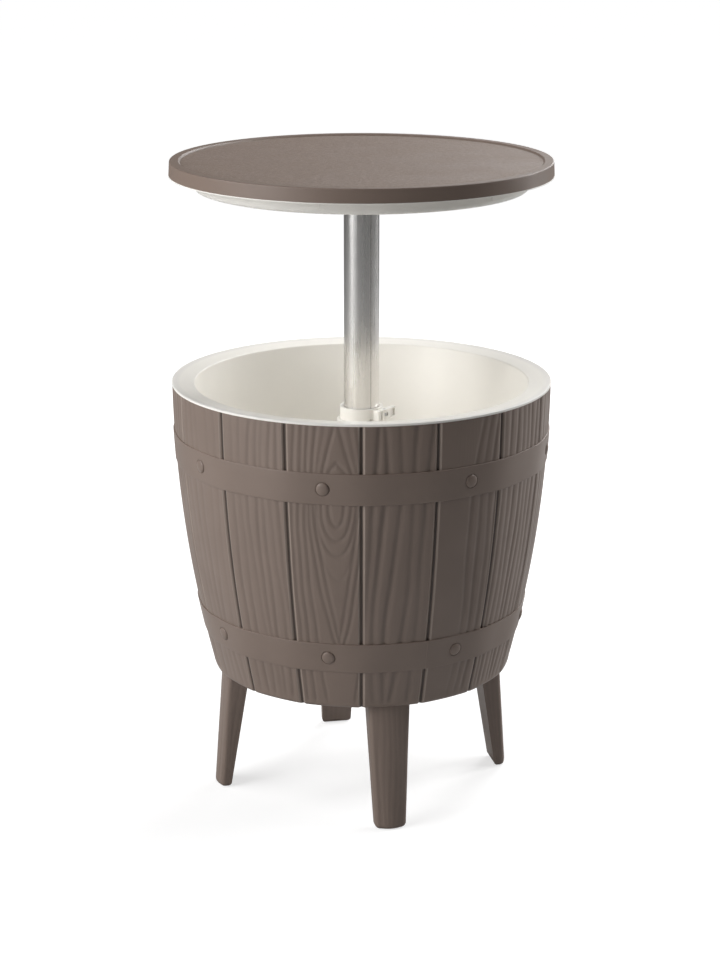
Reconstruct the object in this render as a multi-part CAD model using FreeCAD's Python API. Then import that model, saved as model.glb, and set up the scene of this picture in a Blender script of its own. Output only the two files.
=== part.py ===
"""Barrel-shaped cooler table: a staved tub on four legs with an ice liner, and a round
table top that rises out of it on a keyed post.

Millimetres. +Z is up and the origin is on the floor, on the post's axis. -Y is the front.
Angles named *_deg are measured from the front, turning towards +X.
"""

import FreeCAD
import Part

import math
import os

from FreeCAD import Vector

# Heights of the main stack
leg_height = 168.4
shell_height = 385.9
rim_thickness = 3.0
lift_travel = 268.9
skirt_height = 18.8

# Small fits shared by the whole object, and how far cuts and fused roots reach past a face
slip_gap = 0.3
slide_gap = 0.4
screw_gap = 0.05
cut_reach = 1.0
root_depth = 0.5

# Staved shell
stave_count = 16
stave_top_radius = 247.9
stave_base_radius = 197.4
stave_bulge = 11.8
stave_axis_depth = 90.0
shell_wall = 4.5
shell_floor = 4.0
base_round = 8.0
seam_width = 4.4
seam_floor_width = 1.6
seam_depth = 3.0

# Moulded hoops and rivet heads
hoop_height = 40.5
hoop_proud = 1.0
hoop_embed = 3.6
hoop_edge = 0.6
lower_hoop_mid = 74.0
upper_hoop_mid = 304.8
rivet_radius = 8.2
rivet_height = 2.4

# Ice liner
liner_wall = 2.6
rim_overhang = 1.0
rim_width = 30.0
rim_fall = 3.5
liner_taper = 40.9
liner_floor_rise = 93.6
liner_floor_round = 20.0
liner_heel_share = 0.6
rim_edge_round = 1.2
mouth_round = 2.0
locating_ring_depth = 10.0
column_top_radius = 32.0
column_base_radius = 38.0
column_flange_radius = 41.5
column_flange = 3.0
column_cap = 3.0
column_drop = 54.3
column_top_round = 1.5
column_foot_round = 1.5
column_flange_round = 1.0

# Post and what guides it
post_radius = 23.1
post_wall = 1.8
key_deg = 30.0
key_width = 3.0
key_depth = 1.5
sleeve_neck_wall = 1.8
sleeve_wall = 2.2
sleeve_flange_radius = 41.0
sleeve_flange = 4.0
sleeve_screw_count = 4
sleeve_screw_circle_radius = 32.0
foot_height = 20.0
foot_ledge = 6.0
foot_spigot_height = 28.0
foot_pin_radius = 2.0
foot_grip = 2.6
foot_floor_gap = 4.5
foot_wall = 2.4
foot_pin_inset = 0.4

# Clamp collar, its bolt and its cam lever
collar_height = 16.5
collar_wall = 2.9
collar_lip = 2.0
collar_lip_cover = 0.8
neck_slot_count = 4
neck_slot_first_deg = 75.0
neck_slot_width = 2.0
neck_slot_depth = 11.0
split_deg = 47.0
split_width = 3.0
ear_thickness = 3.4
nut_ear_thickness = 5.4
ear_reach = 8.4
ear_height = 13.0
bolt_radius = 2.0
bolt_offset = 3.4
bolt_eye_radius = 3.0
nut_across = 7.0
nut_thickness = 2.8
lever_pin_radius = 1.6
cam_reach = 4.8
cam_throw = 0.6
lever_length = 27.0
lever_height = 13.2
lever_root_thickness = 8.8
lever_tip_thickness = 5.0
lever_tip_round = 1.5
lever_wall = 1.8
lever_recess = 2.6
lever_turn_deg = 11.7
drip_hole_deg = 25.0
drip_hole_radius = 2.0
drip_hole_rise = 2.3

# Lid
lid_inset = 1.4
skirt_draft = 1.0
lid_skin = 3.0
raised_edge_width = 11.5
panel_recess = 2.2
recess_bevel = 2.5
lid_edge_round = 1.5
pan_wall = 2.5
pan_depth = 18.2
pan_round = 6.0
pan_taper = 0.6
mouth_clearance = 2.4
pan_notch_count = 6
pan_notch_first_deg = -13.0
pan_notch_width = 7.0
pan_notch_depth = 0.8
pan_notch_margin = 1.5
lid_screw_count = 8
lid_screw_circle_radius = 150.0
lid_boss_radius = 5.0
lid_rib = 2.2
lid_rib_depth = 11.0
lid_rib_clearance = 3.0
socket_flange_radius = 50.0
socket_flange = 4.0
socket_wall = 3.6
socket_screw_count = 4
socket_screw_first_deg = 45.0
socket_screw_circle_radius = 38.0
socket_web_count = 4
socket_web_inset = 2.0
post_pin_radius = 2.5
post_top_gap = 4.0

# Fasteners
screw_shank_radius = 1.8
screw_head_radius = 3.6
screw_crown_radius = 2.6
screw_head_height = 2.2
screw_length = 12.0

# Legs
leg_count = 4
leg_deg = 11.25
leg_top_width = 55.0
leg_foot_width = 41.0
leg_inset = 7.4
leg_splay = 12.5
leg_top_depth = 33.0
leg_foot_depth = 18.5
leg_crown = 3.5
leg_corner = 4.0
leg_foot_round = 1.6
leg_wall = 3.2
tenon_width = 34.0
tenon_depth = 20.0
tenon_height = 28.0
tenon_roof = 5.0
socket_rib = 3.0

# Drain
drain_deg = 168.75
drain_circle_radius = 112.0
drain_bore_radius = 8.0
drain_wall = 2.6
drain_flange_radius = 17.0
drain_flange = 2.0
drain_nut_height = 9.0
drain_nut_across = 30.0
drain_seal = 2.0
drain_spout_drop = 13.0
cap_skirt = 3.0
cap_roof = 3.0
cap_lobes = 12
cap_lobe_radius = 1.6
cap_lobe_drop = 2.0
cap_seal = 1.5

# Levels worked out from the values above
shell_base_z = leg_height
shell_top_z = shell_base_z + shell_height
rim_z = shell_top_z + rim_thickness
skirt_base_z = rim_z + lift_travel
lid_top_z = skirt_base_z + skirt_height
panel_z = lid_top_z - panel_recess
panel_under_z = panel_z - lid_skin
pan_base_z = skirt_base_z - pan_depth
liner_floor_z = shell_base_z + liner_floor_rise
column_top_z = rim_z - column_drop
collar_top_z = column_top_z + collar_height
neck_top_z = collar_top_z - collar_lip
bolt_z = collar_top_z - collar_height / 2
sleeve_base_z = shell_base_z + shell_floor
foot_base_z = shell_base_z + foot_floor_gap + lift_travel
foot_stop_z = foot_base_z + foot_height + slip_gap
foot_pin_z = foot_base_z + (foot_ledge + foot_height) / 2
post_top_z = panel_under_z - post_top_gap
post_pin_z = (pan_base_z + panel_under_z) / 2
socket_top_z = shell_base_z + tenon_height + slip_gap + socket_rib
spout_base_z = shell_base_z - drain_spout_drop

# Radii worked out from the values above
rim_radius = stave_top_radius + rim_overhang
mouth_radius = rim_radius - rim_width
liner_floor_radius = mouth_radius - liner_taper
lid_radius = rim_radius - lid_inset
neck_bore_radius = post_radius + slide_gap
neck_outer_radius = neck_bore_radius + sleeve_neck_wall
foot_radius = post_radius + foot_grip
sleeve_bore_radius = foot_radius + slide_gap
sleeve_outer_radius = sleeve_bore_radius + sleeve_wall
collar_inner = neck_outer_radius + screw_gap
collar_outer = collar_inner + collar_wall
bolt_circle = collar_outer + bolt_offset
pan_flank_radius = mouth_radius - mouth_clearance
leg_top_outer = stave_base_radius - leg_inset
leg_top_inner = leg_top_outer - leg_top_depth
leg_foot_outer = leg_top_outer + leg_splay
leg_foot_inner = leg_foot_outer - leg_foot_depth
tenon_middle = (leg_top_inner + leg_top_outer) / 2
spout_radius = drain_bore_radius + drain_wall
cap_inner = spout_radius + slip_gap
cap_outer = cap_inner + cap_skirt

up = Vector(0, 0, 1)
down = Vector(0, 0, -1)
origin = Vector(0, 0, 0)
sector_half_deg = 180.0 / stave_count


def polar(radius, degrees, z=0.0):
    """A point at a radius, at an angle from the front towards +X."""
    a = math.radians(degrees)
    return Vector(radius * math.sin(a), -radius * math.cos(a), z)


def along(degrees):
    """The unit vector round the post's axis at an angle, towards growing angles."""
    a = math.radians(degrees)
    return Vector(math.cos(a), math.sin(a), 0)


def turned(shape, degrees):
    """A copy of a shape that was made facing +X, turned to an angle from the front."""
    copy = shape.copy()
    copy.rotate(origin, up, degrees - 90.0)
    return copy


def around(shape, count, first_deg=0.0):
    """Copies of a +X-facing shape, spaced evenly round the post's axis."""
    return [turned(shape, first_deg + n * 360.0 / count) for n in range(count)]


def cylinder(radius, z0, z1, centre=origin):
    """An upright cylinder between two heights."""
    return Part.makeCylinder(radius, z1 - z0, Vector(centre.x, centre.y, z0))


def ring(inner, outer, z0, z1, centre=origin):
    """An upright tube between two heights."""
    bore = cylinder(inner, z0 - cut_reach, z1 + cut_reach, centre)
    return cylinder(outer, z0, z1, centre).cut(bore)


def rod(start, end, radius):
    """A cylinder from one point to another."""
    step = end - start
    return Part.makeCylinder(radius, step.Length, start, step)


def block(length, width, z0, z1, x0=0.0):
    """A box that starts at x0 along +X and is centred across Y."""
    return Part.makeBox(length, width, z1 - z0, Vector(x0, -width / 2, z0))


def lathe(edges):
    """A solid of revolution from a closed outline of edges in the X-Z plane."""
    face = Part.Face(Part.Wire(Part.__sortEdges__(edges)))
    return face.revolve(origin, up, 360)


def rounded_loop(corners):
    """A closed outline of (place, rounding) corners. A negative rounding is a flat cut."""
    edges = []
    ends = []
    for n, (here, rounding) in enumerate(corners):
        if not rounding:
            ends.append((here, here))
            continue
        back = (corners[n - 1][0] - here).normalize()
        ahead = (corners[(n + 1) % len(corners)][0] - here).normalize()
        half = back.getAngle(ahead) / 2
        reach = -rounding if rounding < 0 else rounding / math.tan(half)
        start = here + back * reach
        stop = here + ahead * reach
        if rounding < 0:
            edges.append(Part.LineSegment(start, stop).toShape())
        else:
            to_crest = rounding / math.sin(half) - rounding
            crest = here + (back + ahead).normalize() * to_crest
            edges.append(Part.Arc(start, crest, stop).toShape())
        ends.append((start, stop))
    for n in range(len(corners)):
        leave, arrive = ends[n][1], ends[(n + 1) % len(corners)][0]
        if leave.distanceToPoint(arrive) > 1e-6:
            edges.append(Part.LineSegment(leave, arrive).toShape())
    return edges


def rounded_outline(points):
    """The same from (radius, height, rounding) corners, for a shape turned on the axis."""
    return rounded_loop([(Vector(r, 0, z), rounding) for r, z, rounding in points])


def screw(place, direction=up):
    """A pan-head screw. Its head's bearing face is at the place, its shank points along."""
    shank = Part.makeCylinder(screw_shank_radius, screw_length, place, direction)
    crown = place - direction * screw_head_height
    head = Part.makeCone(
        screw_crown_radius, screw_head_radius, screw_head_height, crown, direction
    )
    return shank.fuse(head)


def screw_hole(place, depth, direction=up):
    """The hole that a screw's shank turns in."""
    return Part.makeCylinder(
        screw_shank_radius + screw_gap,
        depth + 2 * cut_reach,
        place - direction * cut_reach,
        direction,
    )


def hexagon(centre, across, first_way, second_way):
    """A hexagonal face round a centre, of a size across its flats, in the plane of two ways."""
    corner = across / math.sqrt(3)
    places = []
    for n in range(6):
        a = math.pi * n / 3
        places.append(centre + first_way * (corner * math.cos(a)) + second_way * (corner * math.sin(a)))
    return Part.Face(Part.makePolygon(places + places[:1]))


drain_place = polar(drain_circle_radius, drain_deg)

# Staved shell

stave_drop = Vector(stave_base_radius, 0, shell_base_z)
stave_rise = Vector(stave_top_radius, 0, shell_top_z)
stave_chord = stave_rise - stave_drop
stave_arc_radius = stave_chord.Length ** 2 / (8 * stave_bulge) + stave_bulge / 2
stave_normal = Vector(stave_chord.z, 0, -stave_chord.x).normalize()
stave_arc_centre = (stave_drop + stave_rise) / 2 - stave_normal * (stave_arc_radius - stave_bulge)
seam_rise = (
    math.sqrt(
        (stave_top_radius + stave_axis_depth) ** 2
        - (stave_axis_depth * math.sin(math.radians(sector_half_deg))) ** 2
    )
    - stave_axis_depth * math.cos(math.radians(sector_half_deg))
    - stave_top_radius
)


def stave_radius(z, offset=0.0):
    """The barrel's radius at the middle of a stave, at a height."""
    reach = stave_arc_radius + offset
    return stave_arc_centre.x + math.sqrt(reach ** 2 - (z - stave_arc_centre.z) ** 2)


def stave_normal_at(z):
    """The direction that the middle of a +X-facing stave looks in, at a height."""
    return (Vector(stave_radius(z), 0, z) - stave_arc_centre).normalize()


def stave_arc(z0, z1, offset=0.0):
    """The stave's curve between two heights, moved out by an offset."""
    zs = (z0, (z0 + z1) / 2, z1)
    a, b, c = (Vector(stave_radius(z, offset), 0, z) for z in zs)
    return Part.Arc(a, b, c).toShape()


def spun_stave(edges):
    """Turns a stave outline about an axis behind the barrel's, so its face is flatter."""
    face = Part.Face(Part.Wire(Part.__sortEdges__(edges)))
    back = Vector(-stave_axis_depth, 0, 0)
    spread = sector_half_deg * 3
    face.rotate(back, up, -spread / 2)
    return face.revolve(back, up, spread)


def sector_wedge():
    """The slice of space that one stave takes, facing +X."""
    reach = 2 * stave_top_radius
    a, b = (
        Vector(reach, side * reach * math.tan(math.radians(sector_half_deg)), 0)
        for side in (-1, 1)
    )
    face = Part.Face(Part.makePolygon([origin, a, b, origin]))
    return face.extrude(Vector(0, 0, lid_top_z))


def stave_core():
    """The solid slice of barrel behind one stave, with its rounded foot."""
    round_z = shell_base_z + base_round
    tangent = Vector(stave_radius(round_z), 0, round_z)
    heel = Vector(tangent.x - base_round, 0, shell_base_z)
    bend = Vector(
        tangent.x - base_round * (1 - math.sqrt(0.5)), 0, round_z - base_round * math.sqrt(0.5)
    )
    hub_low = Vector(-stave_axis_depth, 0, shell_base_z)
    hub_high = Vector(-stave_axis_depth, 0, shell_top_z)
    crown = Vector(stave_top_radius, 0, shell_top_z)
    return spun_stave(
        [
            Part.LineSegment(hub_low, heel).toShape(),
            Part.Arc(heel, bend, tangent).toShape(),
            stave_arc(round_z, shell_top_z),
            Part.LineSegment(crown, hub_high).toShape(),
            Part.LineSegment(hub_high, hub_low).toShape(),
        ]
    )


def hoop_band(middle):
    """One hoop, proud of the staves and with its edges broken."""
    low = shell_base_z + middle - hoop_height / 2
    high = low + hoop_height
    face_low = low + hoop_edge
    face_high = high - hoop_edge

    def at(z, offset):
        return Vector(stave_radius(z, offset), 0, z)

    corners = [
        (at(face_high, hoop_proud), at(high, hoop_proud - hoop_edge)),
        (at(high, hoop_proud - hoop_edge), at(high, -hoop_embed)),
        (at(high, -hoop_embed), at(low, -hoop_embed)),
        (at(low, -hoop_embed), at(low, hoop_proud - hoop_edge)),
        (at(low, hoop_proud - hoop_edge), at(face_low, hoop_proud)),
    ]
    edges = [Part.LineSegment(a, b).toShape() for a, b in corners]
    return spun_stave(edges + [stave_arc(face_low, face_high, hoop_proud)])


def seam_tool():
    """The tapered groove between two staves, swept along their curve, facing +X."""
    outer = stave_arc_radius + seam_rise
    flare = (seam_width - seam_floor_width) / 2 / seam_depth
    half_out = seam_width / 2 + flare * cut_reach
    half_in = seam_floor_width / 2
    corners = [
        (outer + cut_reach, half_out),
        (outer + cut_reach, -half_out),
        (outer - seam_depth, -half_in),
        (outer - seam_depth, half_in),
    ]
    places = [stave_arc_centre + Vector(reach, y, 0) for reach, y in corners]
    face = Part.Face(Part.makePolygon(places + places[:1]))
    across = Vector(0, 1, 0)
    spare_deg = 1.0

    def drop_deg(z):
        return math.degrees(math.asin((stave_arc_centre.z - z) / stave_arc_radius))

    first = drop_deg(shell_top_z) - spare_deg
    last = drop_deg(shell_base_z) + spare_deg
    face.rotate(stave_arc_centre, across, first)
    return face.revolve(stave_arc_centre, across, last - first)


def rivet_head(middle):
    """A domed rivet head on the middle of a +X-facing stave."""
    z = shell_base_z + middle
    normal = stave_normal_at(z)
    seat = Vector(stave_radius(z), 0, z) + normal * hoop_proud
    ball = (rivet_radius ** 2 + rivet_height ** 2) / (2 * rivet_height)
    dome = Part.makeSphere(ball, seat - normal * (ball - rivet_height))
    plug = Part.makeCylinder(rivet_radius, 2 * hoop_embed, seat - normal * hoop_embed, normal)
    return dome.common(plug)


def shell_sector(with_rivets):
    """One stave with half a seam at each side and its stretch of both hoops."""
    wedge = sector_wedge()
    seams = [turned(seam_tool(), 90 + side * sector_half_deg) for side in (-1, 1)]
    stave = stave_core().common(wedge).cut(seams[0]).cut(seams[1])
    for middle in (lower_hoop_mid, upper_hoop_mid):
        band = hoop_band(middle).common(wedge)
        if with_rivets:
            band = band.fuse(rivet_head(middle))
        stave = stave.fuse(band)
    return stave


def shell_cavity():
    """The round space inside the shell, above its floor."""
    low = shell_base_z + shell_floor
    high = shell_top_z + cut_reach
    mouth = Vector(stave_radius(high, -shell_wall), 0, high)
    heel = Vector(stave_radius(low, -shell_wall), 0, low)
    return lathe(
        [
            stave_arc(low, high, -shell_wall),
            Part.LineSegment(mouth, Vector(0, 0, high)).toShape(),
            Part.LineSegment(Vector(0, 0, high), Vector(0, 0, low)).toShape(),
            Part.LineSegment(Vector(0, 0, low), heel).toShape(),
        ]
    )


def leg_socket():
    """The box inside the shell's floor that a leg's tenon goes up into, facing +X."""
    wall = slip_gap + socket_rib
    depth = tenon_depth + 2 * wall
    return block(depth, tenon_width + 2 * wall, shell_base_z, socket_top_z, tenon_middle - depth / 2)


def leg_socket_hole():
    """The space for a leg's tenon, and the hole for its screw, facing +X."""
    depth = tenon_depth + 2 * slip_gap
    width = tenon_width + 2 * slip_gap
    roof = socket_top_z - socket_rib
    pocket = block(depth, width, shell_base_z - cut_reach, roof, tenon_middle - depth / 2)
    hole = screw_hole(Vector(tenon_middle, 0, socket_top_z), socket_rib, down)
    return pocket.fuse(hole)


def leg_angles():
    """The legs' angles from the front."""
    return [leg_deg + n * 360.0 / leg_count for n in range(leg_count)]


def barrel_shell():
    """The staved outer moulding, with hoops, rivet heads, floor and leg sockets."""
    bare, riveted = shell_sector(False), shell_sector(True)
    first_deg = sector_half_deg
    step = 2 * sector_half_deg
    sectors = []
    for n in range(stave_count):
        kind = riveted if n % 2 else bare
        sectors.append(turned(kind, first_deg + n * step))
    shell = sectors[0].multiFuse(sectors[1:]).removeSplitter()
    shell = shell.cut(shell_cavity())
    shell = shell.multiFuse([turned(leg_socket(), a) for a in leg_angles()])
    low, high = shell_base_z - cut_reach, shell_base_z + shell_floor + cut_reach
    drip_hole = cylinder(sleeve_screw_circle_radius - 2 * screw_head_radius, low, high)
    spout_hole = cylinder(spout_radius + slip_gap, low, high, drain_place)
    screws = [
        screw_hole(polar(sleeve_screw_circle_radius, a, shell_base_z), shell_floor)
        for a in sleeve_screw_angles()
    ]
    tools = [turned(leg_socket_hole(), a) for a in leg_angles()]
    return shell.cut(tools + [drip_hole, spout_hole] + screws)


# Ice liner

def rim_top(radius):
    """The height of the rim's top, which falls gently inwards."""
    return rim_z - rim_fall * (rim_radius - radius) / (rim_radius - mouth_radius)


def ice_liner():
    """The bucket: a rim that falls inwards, a tapering wall and a floor."""
    floor_top = liner_floor_z + liner_wall
    ring_low = shell_top_z - locating_ring_depth
    ring_outer = stave_radius(ring_low, -shell_wall) - slip_gap
    ring_inner = ring_outer - liner_wall
    wall_outer = mouth_radius + liner_wall
    column_hole = column_base_radius + slip_gap
    liner = lathe(
        rounded_outline(
            [
                (column_hole, floor_top, 0),
                (liner_floor_radius, floor_top, liner_floor_round),
                (mouth_radius, rim_top(mouth_radius), mouth_round),
                (rim_radius, rim_z, rim_edge_round),
                (rim_radius, shell_top_z, 0),
                (ring_outer, shell_top_z, 0),
                (ring_outer, ring_low, 0),
                (ring_inner, ring_low, 0),
                (ring_inner, rim_top(ring_inner) - rim_thickness, 0),
                (wall_outer, rim_top(wall_outer) - rim_thickness, 0),
                (liner_floor_radius + liner_wall, liner_floor_z, -liner_heel_share * liner_floor_round),
                (column_hole, liner_floor_z, 0),
            ]
        )
    )
    low, high = liner_floor_z - cut_reach, floor_top + cut_reach
    return liner.cut(cylinder(spout_radius + slip_gap, low, high, drain_place))


def liner_column():
    """The hollow column round the post, whose flange is welded to the liner's floor."""
    floor_top = liner_floor_z + liner_wall
    flange_top = floor_top + column_flange
    foot_z = sleeve_base_z + sleeve_flange
    cap_low = column_top_z - column_cap
    cap_bore = neck_outer_radius + slip_gap
    return lathe(
        rounded_outline(
            [
                (cap_bore, column_top_z, 0),
                (column_top_radius, column_top_z, column_top_round),
                (column_base_radius, flange_top, column_foot_round),
                (column_flange_radius, flange_top, column_flange_round),
                (column_flange_radius, floor_top, 0),
                (column_base_radius, floor_top, 0),
                (column_base_radius, foot_z, 0),
                (column_base_radius - liner_wall, foot_z, 0),
                (sleeve_outer_radius + slip_gap, cap_low, 0),
                (cap_bore, cap_low, 0),
            ]
        )
    )


# Guide sleeve


def sleeve_screw_angles():
    """The angles of the screws under the sleeve's flange."""
    return [sector_half_deg + n * 360.0 / sleeve_screw_count for n in range(sleeve_screw_count)]


def key_prism(width, inner, outer, z0, z1):
    """An upright bar on the key's line, between two radii."""
    return turned(block(outer - inner, width, z0, z1, inner), key_deg)


def guide_sleeve():
    """The tube that the post slides in: flange, barrel, slotted neck and key."""
    outside = cylinder(sleeve_flange_radius, sleeve_base_z, sleeve_base_z + sleeve_flange)
    outside = outside.fuse(cylinder(sleeve_outer_radius, sleeve_base_z, column_top_z - column_cap))
    outside = outside.fuse(cylinder(neck_outer_radius, column_top_z - column_cap, neck_top_z))
    sleeve = outside.cut(cylinder(sleeve_bore_radius, sleeve_base_z - cut_reach, foot_stop_z))
    sleeve = sleeve.cut(cylinder(neck_bore_radius, foot_stop_z - cut_reach, neck_top_z + cut_reach))
    key = key_prism(
        key_width - 2 * slip_gap,
        post_radius - key_depth + slip_gap,
        neck_bore_radius + sleeve_neck_wall / 2,
        foot_stop_z,
        neck_top_z - neck_slot_depth,
    )
    slot_low = neck_top_z - neck_slot_depth
    slot = block(sleeve_outer_radius, neck_slot_width, slot_low, neck_top_z + cut_reach)
    slots = around(slot, neck_slot_count, neck_slot_first_deg)
    holes = [
        screw_hole(polar(sleeve_screw_circle_radius, a, sleeve_base_z), sleeve_flange)
        for a in sleeve_screw_angles()
    ]
    return sleeve.fuse(key).cut(slots + holes)


def sleeve_screws():
    """The screws that hold the sleeve to the shell's floor, from below."""
    return [screw(polar(sleeve_screw_circle_radius, a, shell_base_z)) for a in sleeve_screw_angles()]


# Clamp collar and lever

bolt_middle = polar(bolt_circle, split_deg, bolt_z)
split_way = along(split_deg)
ear_low = bolt_z - ear_height / 2
ear_high = bolt_z + ear_height / 2
lever_low = bolt_z - lever_height / 2
lever_high = bolt_z + lever_height / 2
cam_ear_face = split_width / 2 + ear_thickness
nut_ear_face = split_width / 2 + nut_ear_thickness
pivot = bolt_middle + split_way * (cam_ear_face + cam_reach + slip_gap)
pivot_foot = Vector(pivot.x, pivot.y, 0)


def lock_collar():
    """The split ring that grips the sleeve's neck, with two ears for its bolt."""
    body = ring(collar_inner, collar_outer, column_top_z, collar_top_z)
    lip = ring(
        collar_inner - collar_lip_cover, collar_inner + root_depth, neck_top_z, collar_top_z
    )
    ears = Part.makeBox(
        collar_wall + ear_reach - root_depth,
        nut_ear_face + cam_ear_face,
        ear_height,
        Vector(collar_inner + root_depth, -nut_ear_face, ear_low),
    )
    collar = body.fuse(lip).fuse(turned(ears, split_deg))
    split_reach = collar_outer + ear_reach + cut_reach
    split = block(split_reach, split_width, column_top_z - cut_reach, collar_top_z + cut_reach)
    bolt_start = bolt_middle - split_way * (split_width / 2 + nut_thickness + slip_gap)
    bolt_end = bolt_middle + split_way * (cam_ear_face + cut_reach)
    bolt_hole = rod(bolt_start, bolt_end, bolt_radius + screw_gap)
    drip_z = column_top_z + drip_hole_rise
    drip_end = polar(2 * collar_outer, drip_hole_deg, drip_z)
    drip = rod(polar(collar_inner / 2, drip_hole_deg, drip_z), drip_end, drip_hole_radius)
    nut_seat = nut_prism(nut_across + slip_gap, nut_thickness + split_width / 2)
    return collar.cut([turned(split, split_deg), bolt_hole, nut_seat, drip])


def nut_prism(across, length):
    """A hexagon from the nut's seat in the near ear towards the split."""
    seat = bolt_middle - split_way * (split_width / 2 + nut_thickness)
    return hexagon(seat, across, polar(1, split_deg), up).extrude(split_way * length)


def clamp_nut():
    """The nut on the bolt's blind end."""
    start = bolt_middle - split_way * (split_width + nut_thickness)
    return nut_prism(nut_across, nut_thickness).cut(rod(start, bolt_middle, bolt_radius + screw_gap))


def clamp_bolt():
    """The bolt through the ears. Its eye turns on the lever's pin."""
    start = bolt_middle - split_way * (split_width / 2 + nut_thickness)
    shank = rod(start, pivot - split_way * lever_pin_radius, bolt_radius)
    eye = cylinder(bolt_eye_radius, bolt_z - bolt_radius, bolt_z + bolt_radius, pivot_foot)
    hole = cylinder(lever_pin_radius + screw_gap, ear_low, ear_high, pivot_foot)
    return shank.fuse(eye).cut(hole)


def lever_place(shape):
    """Sets a lever shape made at the origin, pointing along +X, on its pivot."""
    copy = shape.copy()
    copy.rotate(origin, up, split_deg + lever_turn_deg)
    copy.translate(pivot_foot)
    return copy


def lever_handle(cam_radius):
    """The handle: a wedge with a recess in its outer side, rounded at its tip."""
    tip_x = lever_length - cam_reach
    outer_y = -cam_radius
    corners = [
        Vector(0, outer_y, lever_low),
        Vector(tip_x, outer_y, lever_low),
        Vector(tip_x, outer_y + lever_tip_thickness, lever_low),
        Vector(0, outer_y + lever_root_thickness, lever_low),
    ]
    wedge = Part.Face(Part.makePolygon(corners + corners[:1])).extrude(up * lever_height)
    upright = [edge for edge in wedge.Edges if edge.BoundBox.ZLength > lever_height / 2]
    upright.sort(key=lambda edge: edge.CenterOfMass.x)
    wedge = wedge.makeFillet(lever_tip_round, upright[-2:])
    recess = Part.makeBox(
        tip_x - cam_reach - 2 * lever_wall,
        2 * lever_recess,
        lever_height - 2 * lever_wall,
        Vector(cam_reach + lever_wall, outer_y - lever_recess, lever_low + lever_wall),
    )
    return wedge.cut(recess)


def lock_lever():
    """The cam lever: an off-centre cam at the pin and a handle along the collar."""
    cam_radius = cam_reach - cam_throw
    towards_ear = math.radians(180.0 - lever_turn_deg)
    cam_centre = Vector(cam_throw * math.cos(towards_ear), cam_throw * math.sin(towards_ear), 0)
    cam = cylinder(cam_radius, lever_low, lever_high, cam_centre)
    slot_half = bolt_radius + slip_gap
    slot_reach = bolt_eye_radius + slip_gap
    slot = Part.makeBox(
        2 * cam_reach + slot_reach,
        4 * cam_reach,
        2 * slot_half,
        Vector(-2 * cam_reach, -2 * cam_reach, bolt_z - slot_half),
    )
    hole = cylinder(lever_pin_radius + screw_gap, lever_low - cut_reach, lever_high + cut_reach)
    return lever_place(lever_handle(cam_radius).fuse(cam).cut([slot, hole]))


def lever_pin():
    """The pin that the lever turns on."""
    return cylinder(lever_pin_radius, lever_low, lever_high, pivot_foot)


# Post

def post_tube():
    """The drawn tube, with its key groove folded into the wall."""
    base = foot_base_z + foot_ledge
    tube = ring(post_radius - post_wall, post_radius, base, post_top_z)
    fold = key_prism(
        key_width + 2 * post_wall,
        post_radius - key_depth - post_wall,
        post_radius - post_wall / 2,
        base,
        post_top_z,
    )
    groove = key_prism(
        key_width,
        post_radius - key_depth,
        post_radius + cut_reach,
        base - cut_reach,
        post_top_z + cut_reach,
    )
    pins = [
        pin_hole(foot_pin_z, foot_pin_radius),
        pin_hole(post_pin_z, post_pin_radius),
    ]
    return tube.fuse(fold).cut([groove] + pins)


def pin_hole(z, radius):
    """A hole straight across the post and what holds it, square to the key."""
    middle = Vector(0, 0, z)
    reach = along(key_deg) * sleeve_flange_radius
    return rod(middle - reach, middle + reach, radius + screw_gap)


def post_foot():
    """The moulded foot on the post's lower end, which runs in the sleeve."""
    base = foot_base_z
    spigot_radius = post_radius - key_depth - post_wall - slip_gap
    spigot_top = base + foot_spigot_height
    body = cylinder(foot_radius, base, base + foot_height)
    seat = ring(
        spigot_radius,
        post_radius + slip_gap / 2,
        base + foot_ledge,
        base + foot_height + cut_reach,
    )
    spigot = cylinder(spigot_radius, base + foot_height, spigot_top)
    relief = cylinder(spigot_radius - foot_wall, base - cut_reach, spigot_top + cut_reach)
    return body.cut(seat).fuse(spigot).cut([relief, pin_hole(foot_pin_z, foot_pin_radius)])


def foot_pin():
    """The pin through the foot and the post."""
    half = along(key_deg) * (foot_radius - foot_pin_inset)
    middle = Vector(0, 0, foot_pin_z)
    return rod(middle - half, middle + half, foot_pin_radius)


# Lid


def lid_boss_angles():
    """The angles of the bosses that the pan's screws go into."""
    return [n * 360.0 / lid_screw_count for n in range(lid_screw_count)]


def lid_top():
    """The table top: recessed panel, raised edge, skirt, and ribs and bosses beneath."""
    top_radius = lid_radius - skirt_draft
    inner_skirt = lid_radius - lid_skin
    edge_inner = top_radius - raised_edge_width
    face_radius = edge_inner - recess_bevel
    top = lathe(
        rounded_outline(
            [
                (0, panel_z, 0),
                (face_radius, panel_z, 0),
                (edge_inner, lid_top_z, 0),
                (top_radius, lid_top_z, lid_edge_round),
                (lid_radius, skirt_base_z, -0.5),
                (inner_skirt, skirt_base_z, 0),
                (inner_skirt - skirt_draft, panel_under_z, 0),
                (0, panel_under_z, 0),
            ]
        )
    )
    boss_low = pan_base_z + pan_wall
    socket_clear = socket_flange_radius + lid_rib_clearance
    rib_reach = inner_skirt - skirt_draft - socket_clear + root_depth
    rib_low, buried = panel_under_z - lid_rib_depth, panel_under_z + root_depth
    rib = block(rib_reach, lid_rib, rib_low, buried, socket_clear)
    boss = cylinder(lid_boss_radius, boss_low, buried, Vector(lid_screw_circle_radius, 0, 0))
    spoke = rib.fuse(boss)
    hole = screw_hole(Vector(lid_screw_circle_radius, 0, boss_low), screw_length)
    spokes = around(spoke, lid_screw_count)
    holes = around(hole, lid_screw_count)
    return top.multiFuse(spokes).cut(holes)


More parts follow.
